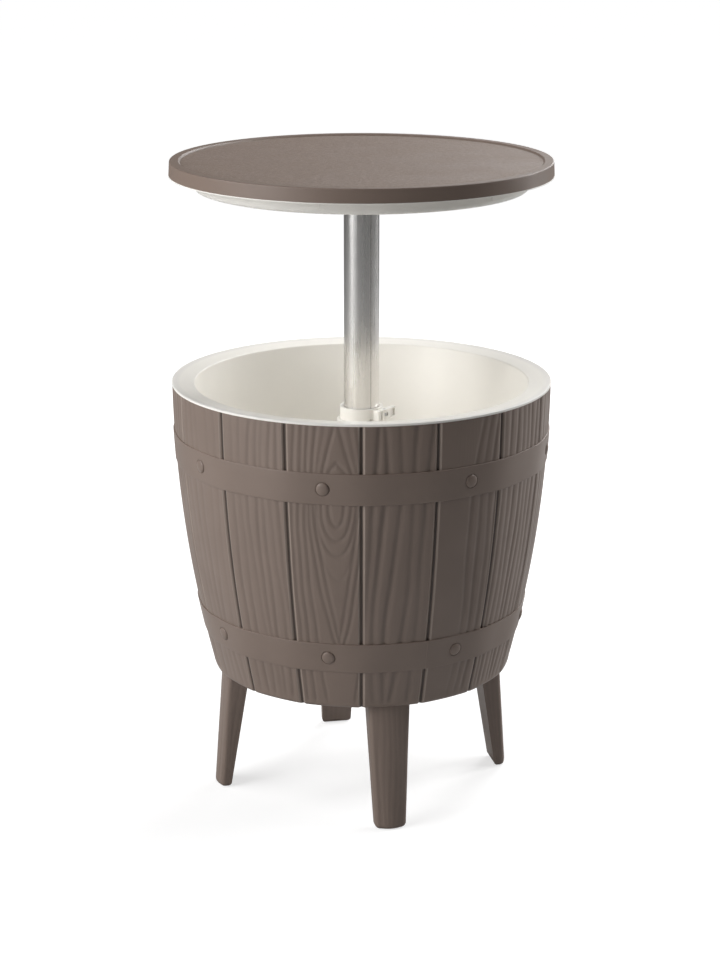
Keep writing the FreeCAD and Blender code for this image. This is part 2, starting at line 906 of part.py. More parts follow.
def lid_pan():
    """The pale pan under the table top, which plugs the liner's mouth when it is down."""
    flange_outer = lid_radius - lid_skin - slip_gap
    flank = pan_flank_radius
    foot = flank - pan_taper
    pan = lathe(
        rounded_outline(
            [
                (post_radius + slip_gap, pan_base_z, 0),
                (foot, pan_base_z, pan_round),
                (flank, skirt_base_z, 0),
                (flange_outer, skirt_base_z, 0),
                (flange_outer, skirt_base_z + pan_wall, 0),
                (flank - pan_wall, skirt_base_z + pan_wall, 0),
                (foot - pan_wall, pan_base_z + pan_wall, pan_wall - pan_round),
                (post_radius + slip_gap, pan_base_z + pan_wall, 0),
            ]
        )
    )
    notch_low, notch_high = pan_base_z + pan_round, skirt_base_z - pan_notch_margin
    notch = block(pan_wall, pan_notch_width, notch_low, notch_high, flank - pan_notch_depth)
    notches = around(notch, pan_notch_count, pan_notch_first_deg)
    lid_holes = [
        screw_hole(polar(lid_screw_circle_radius, a, pan_base_z), pan_wall)
        for a in lid_boss_angles()
    ]
    socket_holes = [
        screw_hole(polar(socket_screw_circle_radius, a, pan_base_z), pan_wall)
        for a in socket_screw_angles()
    ]
    return pan.cut(notches + lid_holes + socket_holes)


def lid_screws():
    """The screws that draw the pan up to the table top."""
    return [screw(polar(lid_screw_circle_radius, a, pan_base_z)) for a in lid_boss_angles()]


def socket_screw_angles():
    """The angles of the screws that hold the post's socket."""
    step = 360.0 / socket_screw_count
    return [socket_screw_first_deg + n * step for n in range(socket_screw_count)]


def post_socket():
    """The cup inside the lid that holds the top of the post."""
    low = pan_base_z + pan_wall
    high = panel_under_z - slip_gap
    bore = post_radius + slip_gap / 2
    shape = cylinder(socket_flange_radius, low, low + socket_flange)
    shape = shape.fuse(cylinder(bore + socket_wall, low, high))
    web_reach = socket_flange_radius - bore - socket_web_inset
    web = block(web_reach, lid_rib, low, (low + high) / 2, bore + root_depth)
    shape = shape.multiFuse(around(web, socket_web_count))
    shape = shape.cut(cylinder(bore, low - cut_reach, post_top_z))
    holes = [
        screw_hole(polar(socket_screw_circle_radius, a, low), socket_flange)
        for a in socket_screw_angles()
    ]
    return shape.cut(holes + [pin_hole(post_pin_z, post_pin_radius)])


def socket_screws():
    """The screws that hold the socket to the pan."""
    return [screw(polar(socket_screw_circle_radius, a, pan_base_z)) for a in socket_screw_angles()]


def post_pin():
    """The pin through the socket and the post."""
    half = along(key_deg) * (post_radius + socket_wall)
    middle = Vector(0, 0, post_pin_z)
    return rod(middle - half, middle + half, post_pin_radius)


# Legs


def leg_section(z, inner, outer, width, corner):
    """A leg's outline at a height, facing +X: flat inside, crowned outside."""
    half = width / 2
    shoulder = outer - leg_crown
    crown_half = half - corner
    bend_in = corner * (1 - math.sqrt(0.5))
    crown = Part.Arc(
        Vector(shoulder, -crown_half, z), Vector(outer, 0, z), Vector(shoulder, crown_half, z)
    )
    edges = [crown.toShape()]
    for side in (-1, 1):
        top = Vector(shoulder, side * crown_half, z)
        bend = Vector(shoulder - bend_in, side * (half - bend_in), z)
        flank = Vector(shoulder - corner, side * half, z)
        heel = Vector(inner, side * half, z)
        edges.append(Part.Arc(top, bend, flank).toShape())
        edges.append(Part.LineSegment(flank, heel).toShape())
    heels = [Vector(inner, -half, z), Vector(inner, half, z)]
    edges.append(Part.LineSegment(heels[0], heels[1]).toShape())
    return Part.Wire(Part.__sortEdges__(edges))


def leg_side(z, inset):
    """A leg's outline at a height, drawn in by an inset on every side."""
    share = z / leg_height
    inner = leg_foot_inner + (leg_top_inner - leg_foot_inner) * share
    outer = leg_foot_outer + (leg_top_outer - leg_foot_outer) * share
    width = leg_foot_width + (leg_top_width - leg_foot_width) * share
    return leg_section(z, inner + inset, outer - inset, width - 2 * inset, leg_corner - inset / 2)


def leg():
    """A tapering hollow leg with a tenon on its top, facing +X."""
    sides = [leg_side(leg_height, 0), leg_side(leg_foot_round, 0), leg_side(0, leg_foot_round)]
    body = Part.makeLoft(sides, True, True)
    tenon_x = tenon_middle - tenon_depth / 2
    tenon_top = leg_height + tenon_height
    tenon = block(tenon_depth, tenon_width, leg_height, tenon_top, tenon_x)
    roof = leg_height - leg_wall
    ends = [leg_side(roof, leg_wall), leg_side(leg_foot_round + leg_wall, leg_wall)]
    hollow = Part.makeLoft(ends, True, True)
    well_depth = tenon_depth - 2 * leg_wall
    well_width = tenon_width - 2 * leg_wall
    well_low, well_high = roof - cut_reach, tenon_top - tenon_roof
    well = block(well_depth, well_width, well_low, well_high, tenon_x + leg_wall)
    hole = screw_hole(Vector(tenon_middle, 0, tenon_top), tenon_roof, down)
    return body.fuse(tenon).cut([hollow, well, hole])


def leg_screws():
    """The screws that draw each tenon up into its socket, from inside the shell."""
    return [screw(polar(tenon_middle, a, socket_top_z), down) for a in leg_angles()]


# Drain

def drain_tube():
    """The flanged spout from the liner's floor down through the shell's."""
    flange_z = liner_floor_z + liner_wall
    tube = cylinder(spout_radius, spout_base_z, flange_z + drain_flange, drain_place)
    flange = cylinder(drain_flange_radius, flange_z, flange_z + drain_flange, drain_place)
    low, high = spout_base_z - cut_reach, flange_z + drain_flange + cut_reach
    bore = cylinder(drain_bore_radius, low, high, drain_place)
    return tube.fuse(flange).cut(bore)


def drain_seal_ring():
    """The rubber washer between the liner's floor and the spout's nut."""
    low = liner_floor_z - drain_seal
    return ring(spout_radius + screw_gap, drain_flange_radius, low, liner_floor_z, drain_place)


def drain_nut():
    """The hexagon nut that pulls the spout's flange down on the liner's floor."""
    top = liner_floor_z - drain_seal
    low = top - drain_nut_height
    base = hexagon(drain_place + up * low, drain_nut_across, Vector(1, 0, 0), Vector(0, 1, 0))
    bore = cylinder(spout_radius + screw_gap, low - cut_reach, top + cut_reach, drain_place)
    return base.extrude(up * drain_nut_height).cut(bore)


def drain_cap():
    """The screw cap on the spout, with grip lobes."""
    top = shell_base_z - slip_gap
    low = spout_base_z - cap_seal - cap_roof
    cap = cylinder(cap_outer, low, top, drain_place)
    lobes = []
    for n in range(cap_lobes):
        place = drain_place + polar(cap_outer, n * 360.0 / cap_lobes)
        lobes.append(cylinder(cap_lobe_radius, low, top - cap_lobe_drop, place))
    cap = cap.multiFuse(lobes)
    return cap.cut(cylinder(cap_inner, low + cap_roof, top + cut_reach, drain_place))


def cap_seal_disc():
    """The rubber disc in the cap that closes the spout."""
    return cylinder(cap_inner - slip_gap, spout_base_z - cap_seal, spout_base_z, drain_place)


def save(name, shape):
    """Writes one node's STEP, as a compound where the node holds several solids."""
    if isinstance(shape, list):
        shape = Part.makeCompound(shape)
    solids = shape.Solids
    whole = solids[0] if len(solids) == 1 else Part.makeCompound(solids)
    whole.exportStep("parts/" + name + ".step")
    print(name, len(solids), "solids", round(whole.Volume / 1000.0, 2), "cm3", whole.isValid())


def main():
    os.makedirs("parts", exist_ok=True)
    save("barrel_shell", barrel_shell())
    save("ice_liner", ice_liner())
    save("liner_column", liner_column())
    save("guide_sleeve", guide_sleeve())
    save("sleeve_screws", sleeve_screws())
    save("lock_collar", lock_collar())
    save("clamp_bolt", clamp_bolt())
    save("clamp_nut", clamp_nut())
    save("lock_lever", lock_lever())
    save("lever_pin", lever_pin())
    save("lid_top", lid_top())
    save("lid_pan", lid_pan())
    save("lid_screws", lid_screws())
    save("post_socket", post_socket())
    save("socket_screws", socket_screws())
    save("post_pin", post_pin())
    save("post_tube", post_tube())
    save("post_foot", post_foot())
    save("foot_pin", foot_pin())
    upright = leg()
    for name, angle in zip(("leg_front", "leg_right", "leg_back", "leg_left"), leg_angles()):
        save(name, turned(upright, angle))
    save("leg_screws", leg_screws())
    save("drain_tube", drain_tube())
    save("drain_seal", drain_seal_ring())
    save("drain_nut", drain_nut())
    save("drain_cap", drain_cap())
    save("cap_seal", cap_seal_disc())


main()
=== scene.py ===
"""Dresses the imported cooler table: a staved tub on four legs with an ice liner, and a
round table top that rises out of it on a keyed post.

Lengths in the classes are millimetres and become metres in the meshes. +Z is up and
-Y is the front. Angles are measured from the front, turning towards +X.
"""
import logging
import math
from dataclasses import dataclass, field
from enum import Enum
from functools import cache

import bpy
import numpy as np
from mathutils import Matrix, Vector
from mathutils.geometry import delaunay_2d_cdt


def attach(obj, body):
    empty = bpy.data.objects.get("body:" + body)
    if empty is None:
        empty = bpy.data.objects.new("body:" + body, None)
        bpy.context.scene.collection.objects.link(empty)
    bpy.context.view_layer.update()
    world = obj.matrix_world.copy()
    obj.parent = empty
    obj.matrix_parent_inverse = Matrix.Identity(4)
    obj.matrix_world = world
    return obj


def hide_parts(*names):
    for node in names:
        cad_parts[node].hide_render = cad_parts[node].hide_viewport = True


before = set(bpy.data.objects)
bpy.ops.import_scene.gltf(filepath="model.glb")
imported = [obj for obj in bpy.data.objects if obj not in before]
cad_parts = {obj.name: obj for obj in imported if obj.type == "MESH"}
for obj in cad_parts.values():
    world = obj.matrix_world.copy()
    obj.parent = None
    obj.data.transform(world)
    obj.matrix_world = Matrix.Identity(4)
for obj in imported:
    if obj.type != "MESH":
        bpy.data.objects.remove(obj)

log = logging.getLogger("cooler_table")

Array = np.ndarray
Socket = bpy.types.NodeSocket
Tree = bpy.types.NodeTree
MM = 0.001
STAVES = 16
LEG_DEGREES = 11.25
NOISE_SPAN = (0.3, 0.7)
TRIANGLES_INSIDE = 1
MERGE_DISTANCE = 1e-7
SIDES = ("front", "right", "back", "left")
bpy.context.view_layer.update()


# Meshes

@dataclass
class MeshBuilder:
    """Collects points and faces, in millimetres, and turns them into one piece."""

    points: list = field(default_factory=list)
    masks: list = field(default_factory=list)
    faces: list = field(default_factory=list)
    count: int = 0

    def add(self, points: Array, relief: object = 0.0, wood: object = 0.0) -> Array:
        """Adds points and gives their numbers.

        Args:
            points: An array whose last axis is x, y, z.
            relief: How deep in a groove each point is, from 0 to 1 and more in a seam's bottom, which sets
                the shade painted there, or -1 where a highlight is painted on a seam's edge.
            wood: How much of the fine wood fibre each point shows, from 0 to 1.

        Returns:
            The numbers of the points, in the shape of the array without its last axis.
        """
        shape = points.shape[:-1]
        flat = points.reshape(-1, 3)
        numbers = np.arange(self.count, self.count + len(flat)).reshape(shape)
        self.points.append(flat)
        self.masks.append(np.stack([np.broadcast_to(mask, shape).ravel() for mask in (relief, wood)]))
        self.count += len(flat)
        return numbers

    def quads(self, grid: Array, flip: bool = False, keep: object = None) -> None:
        """Adds the quads between rings of point numbers.

        Args:
            grid: A row of numbers for each ring.
            flip: Whether the faces look the other way.
            keep: Which quads are made, all of them if it is None.
        """
        ahead = np.roll(grid, -1, axis=1)
        faces = np.stack([grid[:-1], ahead[:-1], ahead[1:], grid[1:]], -1)
        faces = faces.reshape(-1, 4) if keep is None else faces[keep]
        self.faces.extend((faces[:, ::-1] if flip else faces).tolist())

    def tube(self, points: Array, flip: bool = False, ends: int = 0, **masks: object) -> Array:
        """Adds rings of points and the wall between them.

        Args:
            points: A row of x, y, z for each ring.
            flip: Whether the wall looks inwards.
            ends: How many ends are closed: 0, 1 for the last one, or 2.
            masks: The relief and wood of the points.

        Returns:
            The points' numbers.
        """
        grid = self.add(points, **masks)
        self.quads(grid, flip)
        loops = [grid[-1], grid[0, ::-1]][:ends]
        self.faces.extend(loop[::-1 if flip else 1].tolist() for loop in loops)
        return grid

    def piece(self, name: str, finish: "Finish", body: str, node: str = "", sharp: float = 40.0) -> None:
        """Makes the object in metres, shades it smooth, parents it to its body's empty and hides the CAD node
        that it stands for, if there is one.

        Args:
            name: The piece's name.
            finish: The finish whose material it gets.
            body: The CAD body that it rides on.
            node: The CAD node that it stands for, if there is one.
            sharp: Edges that turn more than these degrees stay sharp.
        """
        mesh = bpy.data.meshes.new(name)
        places = np.concatenate(self.points) * MM
        mesh.from_pydata(places.tolist(), [], self.faces)
        for label, values in zip(("relief", "wood"), np.concatenate(self.masks, axis=1)):
            layer = mesh.attributes.new(label, "FLOAT", "POINT")
            layer.data.foreach_set("value", values.astype(np.float32))
        mesh.validate()
        mesh.materials.append(finish.material())
        mesh.polygons.foreach_set("use_smooth", [True] * len(mesh.polygons))
        mesh.set_sharp_from_angle(angle=math.radians(sharp))
        piece = new_object(name, mesh)
        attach(piece, body)
        if node:
            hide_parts(node)
        log.info("%s: %d faces", name, len(mesh.polygons))


def new_object(name: str, data: bpy.types.ID) -> bpy.types.Object:
    """Makes an object and links it to the scene."""
    made = bpy.data.objects.new(name, data)
    bpy.context.scene.collection.objects.link(made)
    return made


def polar(radius: Array, degrees: Array, z: Array, side: Array = 0.0) -> Array:
    """Points round the axis.

    Args:
        radius: Their radii.
        degrees: Their angles from the front towards +X.
        z: Their heights.
        side: How far they are moved to the side.

    Returns:
        The points.
    """
    turn = np.radians(degrees)
    x = radius * np.sin(turn) + side * np.cos(turn)
    y = -radius * np.cos(turn) + side * np.sin(turn)
    return np.stack(np.broadcast_arrays(x, y, z), -1)


def box(degrees: float, middle: float, size: tuple, levels: tuple) -> Array:
    """A box's corners, counterclockwise from above, at each level.

    Args:
        degrees: The angle that it stands at.
        middle: The radius of its middle.
        size: Its size out from the axis and across.
        levels: The heights.

    Returns:
        A row of points for each height.
    """
    corners = np.array([(-1, -1), (1, -1), (1, 1), (-1, 1)]) * size / 2
    return polar(middle + corners[:, 0], degrees, np.array(levels)[:, None], corners[:, 1])


def ring_angles(sides: int) -> Array:
    """Angles in radians of the points round a circle."""
    return np.linspace(0, 2 * math.pi, sides + 1)[:-1]


def ramp(value: Array, start: float, length: float) -> Array:
    """Rises from 0 at the start to 1 at the end of a length."""
    return np.clip((value - start) / length, 0, 1)


def wave(value: Array) -> Array:
    """Rises from 0 to 1 and falls back once for each turn of an angle."""
    return 0.5 - 0.5 * np.cos(value)


def groove(apart: Array, broad: float) -> Array:
    """A groove's depth: 1 on its line, and next to nothing at three times its breadth."""
    return np.exp(-0.5 * (apart / broad) ** 2)


def pairs(numbers: Array, places: Array) -> list:
    """Each point's number with its place in the plane."""
    return list(zip(numbers.tolist(), places[:, :2].tolist()))


def fill(loops: list) -> list:
    """Triangles between an outer loop and the holes in it, in a plane.

    Args:
        loops: Loops of (number, place) pairs, counterclockwise. The first is the outer one.

    Returns:
        Triangles of the pairs' numbers, counterclockwise.
    """
    numbers, places = zip(*sum(loops, []))
    faces = []
    start = 0
    for loop in loops:
        faces.append(list(range(start, start + len(loop))))
        start += len(loop)
    corners = [Vector(place) for place in places]
    made = delaunay_2d_cdt(corners, [], faces, TRIANGLES_INSIDE, MERGE_DISTANCE)
    return [
        [numbers[made[3][n][0]] for n in face]
        for face, owners in zip(made[2], made[5]) if list(owners) == [0]
    ]


# Node trees

class NodeMaker:
    """Writes node trees in few words."""

    def __init__(self, tree: Tree) -> None:
        """Keeps the tree that it writes in."""
        self.tree = tree

    def node(self, kind: str, inputs: object = (), **settings: object) -> bpy.types.Node:
        """Adds a node.

        Args:
            kind: The node's type, without the words ShaderNode.
            inputs: A value or an output for each input that is named or numbered.
            settings: Values for the node's own properties.

        Returns:
            The node.
        """
        made = self.tree.nodes.new("ShaderNode" + kind)
        for name, value in settings.items():
            setattr(made, name, value)
        self.feed(made, inputs)
        return made

    def feed(self, node: bpy.types.Node, inputs: object) -> None:
        """Gives a node's inputs their values, or the outputs that are meant to feed them.

        Args:
            node: The node.
            inputs: A value or an output for each input that is named or numbered.
        """
        for label, value in dict(inputs).items():
            if isinstance(value, Socket):
                self.tree.links.new(value, node.inputs[label])
            else:
                node.inputs[label].default_value = value

    def math(self, operation: str, *values: object) -> Socket:
        """A Math node's output for values or outputs."""
        return self.node("Math", enumerate(values), operation=operation).outputs[0]

    def span(self, value: object, *ends: float) -> Socket:
        """Maps a value from a span (lowest, highest) to another, and holds it at the ends."""
        return self.node("MapRange", enumerate((value, *ends)), clamp=True).outputs[0]

    def blend(self, share: object, first: object, second: object) -> Socket:
        """Mixes a share of the second colour into the first."""
        return self.node("Mix", {0: share, 6: first, 7: second}, data_type="RGBA").outputs[2]

    def lighten(self, color: Socket, change: Socket) -> Socket:
        """A colour made lighter by a share of itself, or darker where the share is under 0."""
        return self.node("HueSaturation", {"Value": self.math("ADD", 1.0, change), "Color": color}).outputs[0]

    def noise(
        self, place: object, scale: object, detail: float, rough: float = 0.5, distortion: float = 0.0
    ) -> Socket:
        """A Noise Texture's value.

        Args:
            place: The coordinates.
            scale: Its scale per metre, or the output that gives it.
            detail: Its detail.
            rough: How strong the finest detail is.
            distortion: How far it is stirred.

        Returns:
            The noise from 0 to 1.
        """
        return self.node("TexNoise", {
            "Vector": place, "Scale": scale, "Detail": detail, "Roughness": rough, "Distortion": distortion,
        }).outputs[0]

    def place(self, stretch: float = 1.0) -> Socket:
        """The place on the object.

        Args:
            stretch: What its height is multiplied by.

        Returns:
            The place.
        """
        place = self.node("TexCoord").outputs["Object"]
        if stretch != 1.0:
            place = self.node("Mapping", {"Vector": place, "Scale": (1.0, 1.0, stretch)}).outputs[0]
        return place

    def height(self) -> Socket:
        """The height on the object."""
        return self.node("SeparateXYZ", {0: self.place()}).outputs[2]

    @staticmethod
    def start(name: str, inputs: dict) -> tuple:
        """Starts a node group.

        Args:
            name: The group's name.
            inputs: Each input's label and value. A tuple makes a colour's socket.

        Returns:
            The writer of the group's tree and the outputs of its input node.
        """
        tree = bpy.data.node_groups.new(name, "ShaderNodeTree")
        for label, value in inputs.items():
            kind = "NodeSocketColor" if isinstance(value, tuple) else "NodeSocketFloat"
            tree.interface.new_socket(label, in_out="INPUT", socket_type=kind).default_value = value
        return NodeMaker(tree), tree.nodes.new("NodeGroupInput").outputs

    def leave(self, **results: Socket) -> Tree:
        """Ends a node group.

        Args:
            results: The output that feeds each socket of the group.

        Returns:
            The group.
        """
        for label, value in results.items():
            kind = "NodeSocketColor" if value.type == "RGBA" else "NodeSocketFloat"
            self.tree.interface.new_socket(label, in_out="OUTPUT", socket_type=kind)
        self.feed(self.tree.nodes.new("NodeGroupOutput"), results)
        return self.tree


@cache
def mottle() -> Tree:
    """Slow changes of colour and gloss that moulded plastic has.

    Returns:
        The group, which also gives a fine height.
    """
    inputs = {"Color": (0.5, 0.5, 0.5, 1), "Depth": 0.06, "Roughness": 0.45}
    w, entry = NodeMaker.start("mould_mottle", inputs)
    slow = w.noise(w.place(), scale=14.0, detail=3.0)
    share = w.math("MULTIPLY", w.span(slow, *NOISE_SPAN, 0.0, 1.0), entry["Depth"])
    return w.leave(
        Color=w.blend(share, entry["Color"], (0, 0, 0, 1)),
        Roughness=w.math("ADD", entry["Roughness"], w.span(slow, *NOISE_SPAN, -0.04, 0.04)),
        Height=w.noise(w.place(), scale=900.0, detail=2.0, rough=0.6),
    )


@cache
def upright_fibres() -> Tree:
    """Fine upright fibres for wood grain, as a height."""
    w, entry = NodeMaker.start("upright_fibres", {"Scale": 500.0})
    return w.leave(Height=w.noise(w.place(stretch=0.05), entry["Scale"], detail=3.0))


@cache
def table_stipple() -> Tree:
    """The fine stipple and slow swirls of the table top's recessed panel.

    Returns:
        The group. Its mask is 1 on the panel and 0 on the smooth raised edge and skirt.
    """
    w, entry = NodeMaker.start("table_stipple", {
        "Color": (0.5, 0.5, 0.5, 1), "Swirl Color": (0.5, 0.45, 0.4, 1),
        "Panel Top": 0.8432, "Panel Base": 0.8420, "Panel Radius": 0.2335,
    })
    place, height = w.place(), w.height()
    away = w.node("VectorMath", {0: w.place(stretch=0.0)}, operation="LENGTH")
    low = w.math("LESS_THAN", height, entry["Panel Top"])
    high = w.math("GREATER_THAN", height, entry["Panel Base"])
    near = w.math("LESS_THAN", away.outputs["Value"], entry["Panel Radius"])
    mask = w.math("MULTIPLY", w.math("MULTIPLY", low, high), near)
    grit = w.noise(place, scale=190.0, detail=4.0, rough=0.9)
    swirl = w.noise(place, scale=6.0, detail=4.0, rough=0.6, distortion=1.6)
    swirl_span, tints = (0.38, 0.68), (0.0, 0.55)
    grit_span, changes = (0.36, 0.64), (-0.22, 0.30)
    tint = w.math("MULTIPLY", w.span(swirl, *swirl_span, *tints), mask)
    change = w.math("MULTIPLY", w.span(grit, *grit_span, *changes), mask)
    return w.leave(
        Color=w.lighten(w.blend(tint, entry["Color"], entry["Swirl Color"]), change),
        Height=w.math("MULTIPLY", grit, mask),
        Mask=mask,
    )


@cache
def drawn_lines() -> Tree:
    """Fine lines along +Z that drawing leaves on a tube.

    Returns:
        The group, with a shade and a height.
    """
    w, entry = NodeMaker.start("drawn_lines", {"Scale": 900.0})
    place = w.place(stretch=0.006)
    return w.leave(
        Shade=w.noise(place, w.math("MULTIPLY", entry["Scale"], 0.45), detail=3.0),
        Height=w.noise(place, w.math("MULTIPLY", entry["Scale"], 2.0), detail=2.0),
    )


# Finishes

class Relief(Enum):
    """What fine relief a finish has besides its mesh."""

    PLAIN = "plain"
    FIBRES = "fibres"
    STIPPLE = "stipple"
    DRAWN = "drawn"
    # Painted shade: a greyer top on the liner's rim.
    RIM = "rim"


@dataclass(frozen=True)
class Finish:
    """A moulded plastic, metal or rubber finish."""

    name: str
    slot: str
    color: tuple
    roughness: float
    relief: Relief = Relief.PLAIN
    mottle: float = 0.06
    bump: float = 0.05
    metallic: float = 0.0
    # Painted shade darkens grooves and a painted highlight lightens seam edges, by the shares and colours
    # below.
    painted_shade: float = 0.0
    painted_highlight: float = 0.0
    specular: float = 0.5
    painted_shade_color: tuple = (0.02, 0.018, 0.016, 1)
    painted_highlight_color: tuple = (0.62, 0.53, 0.47, 1)
    fibre_scale: float = 420.0
    fibre_rest: float = 0.4
    swirl_color: tuple = (0.215, 0.158, 0.124, 1)
    stipple_rough: float = 0.08
    stipple_rest: float = 0.1
    # The liner rim's top, above these heights, gets painted shade in this colour and share, and less gloss.
    rim_heights: tuple = (0.5560, 0.5566)
    rim_painted_shade_color: tuple = (0.76, 0.745, 0.73, 1)
    rim_share: float = 0.5
    rim_rough: float = 0.12
    drawn_change: float = 0.03

    def paint_shade_and_highlight(self, w: NodeMaker, color: Socket) -> Socket:
        """A colour with shade painted into grooves and a highlight painted onto seam edges.

        Args:
            w: The writer of the material's tree.
            color: The colour.

        Returns:
            The changed colour.
        """
        depth = w.node("Attribute", attribute_name="relief").outputs["Fac"]
        for strength, other in ((self.painted_shade, self.painted_shade_color), (-self.painted_highlight, self.painted_highlight_color)):
            share = w.math("MAXIMUM", w.math("MULTIPLY", depth, strength), 0.0)
            color = w.blend(share, color, other)
        return color

    def fine_relief(self, w: NodeMaker, color: Socket, rough: Socket, height: Socket) -> tuple:
        """Adds what the finish has besides its mesh.

        Args:
            w: The writer of the material's tree.
            color: The colour's output.
            rough: The roughness output.
            height: The output for the bump's height.

        Returns:
            The three outputs with the relief.
        """
        if self.relief is Relief.FIBRES:
            group = w.node("Group", {"Scale": self.fibre_scale}, node_tree=upright_fibres())
            wood = w.node("Attribute", attribute_name="wood").outputs["Fac"]
            drawn = w.math("MULTIPLY", group.outputs["Height"], wood)
            height = w.math("ADD", w.math("MULTIPLY", height, self.fibre_rest), drawn)
        if self.relief is Relief.STIPPLE:
            inputs = {"Color": color, "Swirl Color": self.swirl_color}
            color, grit, mask = w.node("Group", inputs, node_tree=table_stipple()).outputs
            rough = w.math("ADD", rough, w.math("MULTIPLY", mask, self.stipple_rough))
            height = w.math("ADD", w.math("MULTIPLY", height, self.stipple_rest), grit)
        if self.relief is Relief.RIM:
            # Painted shade: the top of the liner's rim is greyed.
            top = w.span(w.height(), *self.rim_heights, 0.0, 1.0)
            color = w.blend(w.math("MULTIPLY", top, self.rim_share), color, self.rim_painted_shade_color)
            rough = w.math("ADD", rough, w.math("MULTIPLY", top, self.rim_rough))
        if self.relief is Relief.DRAWN:
            shade, height = w.node("Group", node_tree=drawn_lines()).outputs
            change = w.span(shade, *NOISE_SPAN, -self.drawn_change, self.drawn_change)
            color = w.lighten(color, change)
            rough = w.math("ADD", rough, change)
        return color, rough, height

    @cache
    def material(self) -> bpy.types.Material:
        """Makes the material, once for each finish.

        Returns:
            The material.
        """
        made = bpy.data.materials.new(self.name)
        made.use_nodes = True
        w = NodeMaker(made.node_tree)
        shader = made.node_tree.nodes["Principled BSDF"]
        inputs = {"Color": (*self.color, 1), "Depth": self.mottle, "Roughness": self.roughness}
        color, rough, height = w.node("Group", inputs, node_tree=mottle()).outputs
        if self.painted_shade:
            color = self.paint_shade_and_highlight(w, color)
        color, rough, height = self.fine_relief(w, color, rough, height)
        bump = w.node("Bump", {"Strength": 1.0, "Distance": self.bump * MM, "Height": height})
        w.feed(shader, {
            "Base Color": color, "Roughness": rough, "Metallic": self.metallic,
            "Specular IOR Level": self.specular, "Normal": bump.outputs[0],
        })
        return made


TAUPE = (0.228, 0.172, 0.142)
# The wood and leg finishes paint shade into grooves, and the wood's also paints a highlight onto seam edges.
TAUPE_WOOD = Finish(
    "taupe_wood_grain", "taupe_plastic", TAUPE, 0.46, Relief.FIBRES, 0.06, 0.12, painted_shade=0.10, painted_highlight=0.22,
)
TAUPE_LEG = Finish("taupe_leg_grain", "taupe_plastic", TAUPE, 0.46, Relief.FIBRES, 0.06, 0.12, painted_shade=0.15)
TAUPE_TOP = Finish("taupe_table_top", "taupe_plastic", TAUPE, 0.44, Relief.STIPPLE, 0.05, 0.9, specular=0.4)
CREAM = Finish("cream_moulding", "cream_plastic", (0.93, 0.905, 0.855), 0.38, Relief.PLAIN, 0.03, 0.03)
LINER = Finish("cream_liner", "cream_plastic", (0.95, 0.925, 0.87), 0.36, Relief.RIM, 0.03, 0.03)
GREY = Finish("grey_moulding", "grey_plastic", (0.075, 0.075, 0.075), 0.45)
POST = Finish(
    "drawn_aluminium", "tube_aluminium", (0.80, 0.785, 0.77), 0.26, Relief.DRAWN, 0.02, 0.0005, metallic=1.0,
)
STEEL = Finish("zinc_steel", "screw_steel", (0.62, 0.62, 0.63), 0.32, Relief.PLAIN, 0.08, 0.02, metallic=1.0)
RUBBER = Finish("black_rubber_disc", "black_rubber", (0.016, 0.016, 0.016), 0.7)


# Wood grain

class Grain(Enum):
    """The grain pictures that the staves carry."""

    CATHEDRAL = "nested loops beside close straight lines"
    BROAD = "a few broad slanting waves"
    HALF = "lines on the right, plain on the left"
    DENSE = "many straight lines"
    SOFT = "soft even lines"
    FAINT = "hardly seen lines"


@dataclass(frozen=True)
class StraightGrain:
    """Grooves that run up a stave. Each has its place across the stave at five heights."""

    lines: tuple
    deep: float
    broad: float
    heights: tuple = (520.0, 440.0, 350.0, 270.0, 200.0)
    curve_order: int = 3
    waves: tuple = ((0.016, 43.0, 1.0, 2.0), (0.010, 19.0, 2.3, 1.0))
    fading: tuple = (0.85, 0.3, 70.0, 1.7)

    def depth(self, across: Array, z: Array, half: Array, seed: float) -> Array:
        """How far the grooves go under the stave's face.

        Args:
            across: Places from -1 at the left edge to 1 at the right one.
            z: Heights in millimetres.
            half: Half the stave's width in millimetres.
            seed: A number that is the stave's own.

        Returns:
            Depths in millimetres.
        """
        total = np.zeros_like(across)
        least, swing, fade_length, fade_step = self.fading
        for n, line in enumerate(self.lines):
            run = np.polyval(np.polyfit(self.heights, line, self.curve_order), z)
            for reach, length, seeds, step in self.waves:
                run = run + reach * np.sin(z / length + seeds * seed + step * n)
            apart = (across - run) * half
            deep = self.deep * (least + swing * np.sin(z / fade_length + fade_step * n + seed))
            total += deep * groove(apart, self.broad)
        return total


